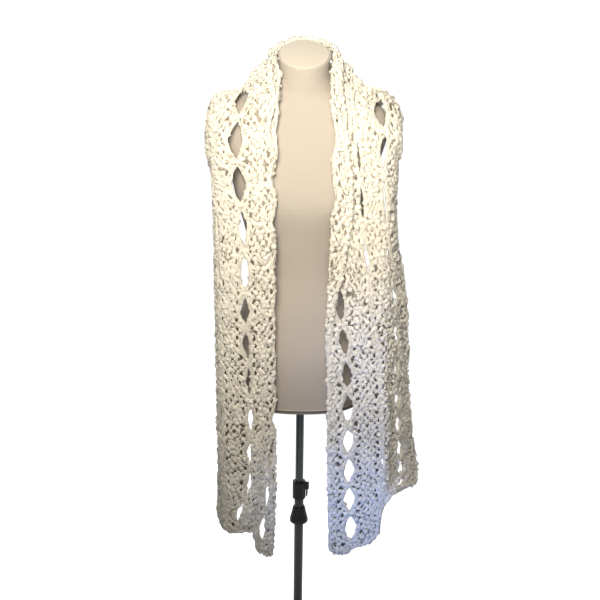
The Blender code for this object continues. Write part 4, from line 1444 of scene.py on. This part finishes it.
@dataclass(frozen=True)
class Finish:
    """A finish: two colours mixed by broad grain, roughness, and bump from grain or knit."""

    name: str
    colour: tuple[float, float, float]
    second: tuple[float, float, float]
    roughness: float
    roughness_change: float = 0.10
    metallic: float = 0.0
    sheen: float = 0.0
    sheen_roughness: float = 0.45
    coat: float = 0.0
    specular: float = 0.5
    grain_scale: float = 400.0
    cells: float = 0.4
    bump: float = 0.3
    bump_reach: float = 0.001
    uses_tone: bool = False
    tint_share: float = 0.35
    tone_share: float = 0.75
    uses_knit: bool = False
    knit_scale: float = 2200.0
    grain_in_knit: float = 0.4

    def make(self, grain: bpy.types.NodeTree, knit: bpy.types.NodeTree) -> bpy.types.Material:
        """Build the material.

        Args:
            grain: The grain group.
            knit: The jersey knit group.

        Returns:
            The new material.
        """
        material = bpy.data.materials.new(self.name)
        material.use_nodes = True
        material.diffuse_color = (*self.colour, 1.0)
        bench = NodeBench(material.node_tree)
        shader = material.node_tree.nodes["Principled BSDF"]
        shader.inputs["Metallic"].default_value = self.metallic
        shader.inputs["Sheen Weight"].default_value = self.sheen
        shader.inputs["Sheen Roughness"].default_value = self.sheen_roughness
        shader.inputs["Coat Weight"].default_value = self.coat
        shader.inputs["Specular IOR Level"].default_value = self.specular
        place = bench.add("ShaderNodeTexCoord").outputs["Object"]
        texture = bench.add("ShaderNodeGroup", node_tree=grain, Scale=self.grain_scale, Cells=self.cells)
        bench.join(place, texture.inputs["Place"])
        tint = texture.outputs["Tint"]
        share = tint
        if self.uses_tone:
            tone = bench.add("ShaderNodeAttribute", attribute_name="tone").outputs["Fac"]
            share = bench.math("ADD", bench.math("MULTIPLY", tint, self.tint_share),
                               bench.math("MULTIPLY", tone, self.tone_share))
        mix = bench.add("ShaderNodeMix", data_type="RGBA", clamp_factor=True)
        colours = [socket for socket in mix.inputs if socket.type == "RGBA"]
        colours[0].default_value = (*self.second, 1.0)
        colours[1].default_value = (*self.colour, 1.0)
        bench.join(share, mix.inputs[0])
        mixed = next(socket for socket in mix.outputs if socket.type == "RGBA")
        bench.join(mixed, shader.inputs["Base Color"])
        change = bench.math("MULTIPLY", tint, self.roughness_change)
        rough = bench.math("ADD", change, self.roughness - 0.5 * self.roughness_change)
        bench.join(rough, shader.inputs["Roughness"])
        height = texture.outputs["Height"]
        if self.uses_knit:
            stitches = bench.add("ShaderNodeGroup", node_tree=knit, Scale=self.knit_scale)
            bench.join(place, stitches.inputs["Place"])
            height = bench.math("ADD", bench.math("MULTIPLY", height, self.grain_in_knit),
                                stitches.outputs["Height"])
        bump = bench.add("ShaderNodeBump", Strength=self.bump, Distance=self.bump_reach)
        bench.join(height, bump.inputs["Height"])
        bench.join(bump.outputs["Normal"], shader.inputs["Normal"])
        return material


# The darker second colour takes over at low tones: painted shade in the chains and where the posts dip.
YARN = Finish("boucle_yarn", (0.940, 0.925, 0.890), (0.500, 0.465, 0.415), 0.93, sheen=0.15, specular=0.15,
              grain_scale=420.0, cells=1.2, bump=0.9, bump_reach=0.0018, uses_tone=True)
# Dark finish of the backing net: painted shade between the stitches.
NET_PAINTED_SHADE = Finish("net_painted_shade", (0.400, 0.365, 0.320), (0.030, 0.026, 0.022), 0.95, sheen=0.05, specular=0.1,
               grain_scale=480.0, cells=1.0, bump=0.85, bump_reach=0.0016, uses_tone=True)
JERSEY = Finish("cover_jersey", (0.385, 0.356, 0.340), (0.360, 0.332, 0.316), 0.86, sheen=0.12, specular=0.2,
                grain_scale=260.0, cells=0.2, bump=0.20, bump_reach=0.0004, uses_knit=True)
# A lighter copy of the jersey for the disc and the cords: painted top light on the disc, painted highlights
# on the cords.
JERSEY_PAINTED_LIGHT = Finish("cap_jersey", (0.545, 0.513, 0.490), (0.512, 0.480, 0.458), 0.82, sheen=0.12, specular=0.2,
             grain_scale=260.0, cells=0.2, bump=0.18, bump_reach=0.0004, uses_knit=True)
BINDING = Finish("hem_binding", (0.150, 0.130, 0.115), (0.110, 0.095, 0.083), 0.80, sheen=0.1, specular=0.2,
                 grain_scale=500.0, bump=0.3, bump_reach=0.0005)
BOARD = Finish("underside_board", (0.150, 0.138, 0.126), (0.118, 0.108, 0.098), 0.62,
               grain_scale=180.0, bump=0.12, bump_reach=0.0006)
PAINT = Finish("stand_powder_coat", (0.016, 0.018, 0.019), (0.010, 0.011, 0.012), 0.48, metallic=0.1,
               coat=0.05, specular=0.3, grain_scale=1400.0, cells=0.6, bump=0.16, bump_reach=0.0003)
METAL = Finish("mast_satin_metal", (0.050, 0.060, 0.064), (0.032, 0.039, 0.042), 0.34, metallic=0.7,
               grain_scale=900.0, cells=0.1, bump=0.05, bump_reach=0.0002)
PLASTIC = Finish("clamp_plastic", (0.005, 0.005, 0.006), (0.003, 0.003, 0.003), 0.55, specular=0.22,
                 grain_scale=1100.0, cells=0.6, bump=0.15, bump_reach=0.0003)


# Dress form and stand


@dataclass
class DressFormCover:
    """The stuffed body with its jersey cover, its bound lower edge, and the disc on the neck."""

    form: FormShape
    sides: int = 144
    levels: int = 150
    cap_sides: int = 96
    top: float = 1.5485
    # Rounded lower edge: height over the edge, inset
    lower_edge: tuple = ((0.0, 0.0022), (0.0004, 0.0010), (0.0012, 0.0003), (0.0025, 0.0))
    first_level: float = 0.006
    # Section of the binding: height, inset
    binding_section: tuple = ((0.7446, -0.0004), (0.7452, -0.0009), (0.7475, -0.0009),
                              (0.7483, -0.0003), (0.7483, 0.0016), (0.7446, 0.0016))
    binding_cord_height: float = 0.7492
    binding_cord_inset: float = -0.0002
    binding_cord_radius: float = 0.0009
    cap_radius: float = 0.0545
    cap_thickness: float = 0.0035
    cap_dome: float = 0.0030
    cap_dome_start: float = 0.003
    cap_inset: float = 0.0010
    # Section of the disc's edge: inset, rise. Then the insets of its top, first and last
    cap_edge: tuple = ((0.0, 0.0003), (0.0, 0.0016), (0.0002, 0.0026), (0.0008, 0.0032), (0.0020, 0.0035))
    cap_top: tuple[float, float] = (0.006, 0.0530)
    rim_radius: float = 0.0011
    rim_out: float = 0.0004

    def body(self, material: bpy.types.Material) -> bpy.types.Object:
        """The body: rings up the form, rounded over a small radius at the lower edge.

        Args:
            material: The cover's finish.

        Returns:
            The new piece.
        """
        over, edge_inset = np.array(self.lower_edge).T
        levels = np.linspace(FORM_BOTTOM + self.first_level, self.top, self.levels)
        heights = np.concatenate([FORM_BOTTOM + over, levels])
        inset = np.concatenate([edge_inset, np.zeros(self.levels)])
        maker = MeshMaker()
        closed_loft(maker, self.form.rings(heights, self.sides, inset))
        item = maker.make("form_cover", material)
        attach(item, Body.FORM.value)
        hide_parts("form_body")
        return item

    def binding(self, material: bpy.types.Material) -> bpy.types.Object:
        """A narrow binding round the lower edge: its section carried round the form.

        Args:
            material: The binding's finish.

        Returns:
            The new piece.
        """
        maker = MeshMaker()
        heights, inset = np.array(self.binding_section).T
        rings = self.form.rings(heights, self.sides, inset)
        rows, sides = rings.shape[:2]
        quads = ring_faces(rows + 1, sides) % (rows * sides)
        maker.add(rings, [quads])
        item = maker.make("form_binding", material)
        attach(item, Body.FORM.value)
        return item

    def binding_cord(self, material: bpy.types.Material) -> bpy.types.Object:
        """The thin cord above the binding, its lighter colour a painted highlight along the lower edge.

        Args:
            material: The cord's finish.

        Returns:
            The new piece.
        """
        maker = MeshMaker()
        path = self.form.rings(np.array([self.binding_cord_height]), self.sides, self.binding_cord_inset)
        up = np.broadcast_to((0.0, 0.0, 1.0), path.shape)
        sweep(maker, path, up, self.binding_cord_radius, closed=True)
        item = maker.make("form_binding_cord", material)
        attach(item, Body.FORM.value)
        return item

    def cap(self, material: bpy.types.Material) -> list[bpy.types.Object]:
        """The neck disc, its top a quarter sine from edge to middle, and the cord round its rim.

        Args:
            material: The finish of the disc and its rim cord, lighter than the body's: painted top light.

        Returns:
            The disc and the cord.
        """
        ring = self.form.rings(np.array([self.top]), self.cap_sides)[0]
        middle = ring.mean(axis=0)
        slope = math.atan(NECK_TILT)
        up = np.array([0.0, -math.sin(slope), math.cos(slope)])
        radius, start = self.cap_radius, self.cap_dome_start
        edge_inset, edge_rise = np.array(self.cap_edge).T
        inset = np.concatenate([edge_inset, np.linspace(*self.cap_top, 9)]) + self.cap_inset
        share = np.clip((inset - start) / (radius - start), 0.0, 1.0)
        rise = self.cap_thickness + self.cap_dome * np.sin(0.5 * math.pi * share)
        rise[:len(edge_rise)] = edge_rise
        inward = (ring - middle)[None] * (1.0 - inset / radius)[:, None, None]
        rings = middle + inward + up * rise[:, None, None]
        maker = MeshMaker()
        closed_loft(maker, rings)
        disc = maker.make("neck_disc", material)
        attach(disc, Body.FORM.value)
        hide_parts("neck_cap")
        maker = MeshMaker()
        path = (middle + (ring - middle) * (1.0 + self.rim_out / radius) - up * self.rim_out)[None]
        sweep(maker, path, np.broadcast_to(up, path.shape), self.rim_radius, closed=True)
        rim = maker.make("neck_rim_cord", material)
        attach(rim, Body.FORM.value)
        return [disc, rim]

    def build(self, jersey: bpy.types.Material, light: bpy.types.Material,
              binding: bpy.types.Material) -> list[bpy.types.Object]:
        """Make the cover's pieces.

        Args:
            jersey: The body's finish.
            light: The finish of the disc and the cords, a lighter copy of the jersey: painted top light and
                a painted highlight line.
            binding: The binding's finish.

        Returns:
            The pieces.
        """
        return [self.body(jersey), self.binding(binding), self.binding_cord(light), *self.cap(light)]


@dataclass
class Stand:
    """The telescopic stand: its solids keep their shape and get their finishes."""

    paint: bpy.types.Material
    metal: bpy.types.Material
    plastic: bpy.types.Material
    board: bpy.types.Material

    def dress(self) -> list[bpy.types.Object]:
        """Give each solid its finish.

        Returns:
            The solids.
        """
        finishes = {"base_plate": self.paint, "lower_tube": self.paint, "mast": self.metal,
                    "tube_hub": self.plastic, "clamp_collar": self.plastic, "clamp_lever": self.plastic,
                    "form_base": self.board}
        dressed = []
        for node, material in finishes.items():
            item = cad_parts[node]
            for slot in item.material_slots:
                slot.material = material
            dressed.append(item)
        return dressed


# Studio


class LightKind(Enum):
    """Kinds of light, with Blender's names for them."""

    PANEL = "AREA"
    SPOT = "SPOT"


def put(item: bpy.types.Object, place: Point, turn: Matrix) -> None:
    """Link an object into the scene, turned and then moved to its place."""
    bpy.context.scene.collection.objects.link(item)
    item.matrix_world = Matrix.Translation(Vector(place)) @ turn


@dataclass(frozen=True)
class Lamp:
    """A soft light. power: watts. size: metres. beam: width in degrees."""

    name: str
    kind: LightKind
    power: float
    size: float
    place: Point
    aim: Point
    colour: Point
    beam: float = 86.0

    def hang(self) -> None:
        """Make the light, put it in its place and turn it towards its aim."""
        data = bpy.data.lights.new(self.name, self.kind.value)
        data.energy = self.power
        data.color = self.colour
        if self.kind is LightKind.SPOT:
            data.shadow_soft_size = self.size
            data.spot_size = math.radians(self.beam)
            data.spot_blend = 1.0
        else:
            data.size = self.size
            data.spread = math.radians(self.beam)
        turn = (Vector(self.aim) - Vector(self.place)).to_track_quat("-Z", "Y").to_matrix().to_4x4()
        put(bpy.data.objects.new(self.name, data), self.place, turn)


COOL = (0.22, 0.41, 1.0)
LAMPS = (
    Lamp("key_light", LightKind.PANEL, 9.2, 0.50, (-0.16, -1.36, 2.05), (0.05, -0.05, 1.46),
         (1.0, 0.89, 0.68)),
    Lamp("fill_light", LightKind.PANEL, 2.2, 0.60, (0.0, -2.40, 1.80), (0.03, -0.05, 1.50),
         (1.0, 0.91, 0.76), 50.0),
    Lamp("low_cool_light", LightKind.SPOT, 60.0, 0.10, (-0.55, -1.35, 0.62), (0.160, -0.14, 0.53),
         COOL, 21.0),
    Lamp("side_cool_light", LightKind.SPOT, 34.0, 0.10, (-0.55, -1.35, 0.80), (0.190, -0.14, 0.90),
         COOL, 18.0),
    Lamp("back_light", LightKind.PANEL, 14.0, 1.2, (-0.3, 1.9, 2.2), (0.0, 0.0, 1.2),
         (1.0, 0.97, 0.93)),
)


@dataclass
class Studio:
    """Floor, soft light and the camera at the photograph's angle."""

    camera_place: Point = (-0.0035, -2.21, 1.79)
    camera_pitch: float = 20.0
    camera_roll: float = 0.68
    lens: float = 60.0
    sensor: float = 36.0
    ambient: float = 0.14
    backdrop: float = 1.06
    backdrop_colour: Point = (0.96, 0.97, 1.0)
    floor_half: float = 60.0
    floor_glow: float = 0.96
    floor_shade: float = 0.93

    def camera(self) -> None:
        """The camera: pitched down, rolled a little, with a plain lens."""
        data = bpy.data.cameras.new("camera")
        data.lens = self.lens
        data.sensor_width = self.sensor
        item = bpy.data.objects.new("camera", data)
        put(item, self.camera_place, Matrix.Rotation(math.radians(90.0 - self.camera_pitch), 4, "X")
            @ Matrix.Rotation(math.radians(self.camera_roll), 4, "Z"))
        bpy.context.scene.camera = item

    def floor(self) -> None:
        """A large pale floor."""
        half = self.floor_half
        mesh = bpy.data.meshes.new("floor")
        mesh.from_pydata([(-half, -half, 0), (half, -half, 0), (half, half, 0), (-half, half, 0)],
                         [], [(0, 1, 2, 3)])
        material = bpy.data.materials.new("pale_floor")
        material.use_nodes = True
        shader = material.node_tree.nodes["Principled BSDF"]
        shader.inputs["Base Color"].default_value = (*(self.floor_shade,) * 3, 1.0)
        shader.inputs["Roughness"].default_value = 0.9
        shader.inputs["Specular IOR Level"].default_value = 0.1
        shader.inputs["Emission Color"].default_value = (1.0, 1.0, 1.0, 1.0)
        shader.inputs["Emission Strength"].default_value = self.floor_glow
        mesh.materials.append(material)
        item = bpy.data.objects.new("floor", mesh)
        item.visible_diffuse = False
        bpy.context.scene.collection.objects.link(item)

    def sky(self) -> None:
        """Even light all round, and a lighter backdrop where the camera sees past the floor."""
        world = bpy.data.worlds.new("studio")
        world.use_nodes = True
        bench = NodeBench(world.node_tree)
        back = world.node_tree.nodes["Background"]
        back.inputs["Color"].default_value = (*self.backdrop_colour, 1.0)
        seen = bench.add("ShaderNodeLightPath").outputs["Is Camera Ray"]
        extra = bench.math("MULTIPLY", seen, self.backdrop - self.ambient)
        bench.join(bench.math("ADD", extra, self.ambient), back.inputs["Strength"])
        bpy.context.scene.world = world

    def build(self) -> None:
        """Set up the whole studio."""
        bpy.context.scene.view_settings.view_transform = "Standard"
        self.sky()
        self.camera()
        self.floor()
        for lamp in LAMPS:
            lamp.hang()


def main() -> None:
    """Build the pieces in order and report each one."""
    logging.basicConfig(level=logging.INFO, format="%(name)s: %(message)s")
    grain, knit = grain_group(), knit_group()
    yarn, inner, jersey, light, binding, board, paint, metal, plastic = (
        finish.make(grain, knit)
        for finish in (YARN, NET_PAINTED_SHADE, JERSEY, JERSEY_PAINTED_LIGHT, BINDING, BOARD, PAINT, METAL, PLASTIC))
    form = FormShape()
    pieces = DressFormCover(form).build(jersey, light, binding)
    pieces += Stand(paint, metal, plastic, board).dress()
    cloth, lace = DrapedCloth(form), LaceLayout()
    for seed, stretch in enumerate(Stretch, start=11):
        pieces += ScarfStretch(stretch, cloth, lace, seed).build(yarn, inner)
    for piece in pieces:
        log.info("%s: %d faces", piece.name, len(piece.data.polygons))
    Studio().build()


if __name__ == "__main__":
    main()
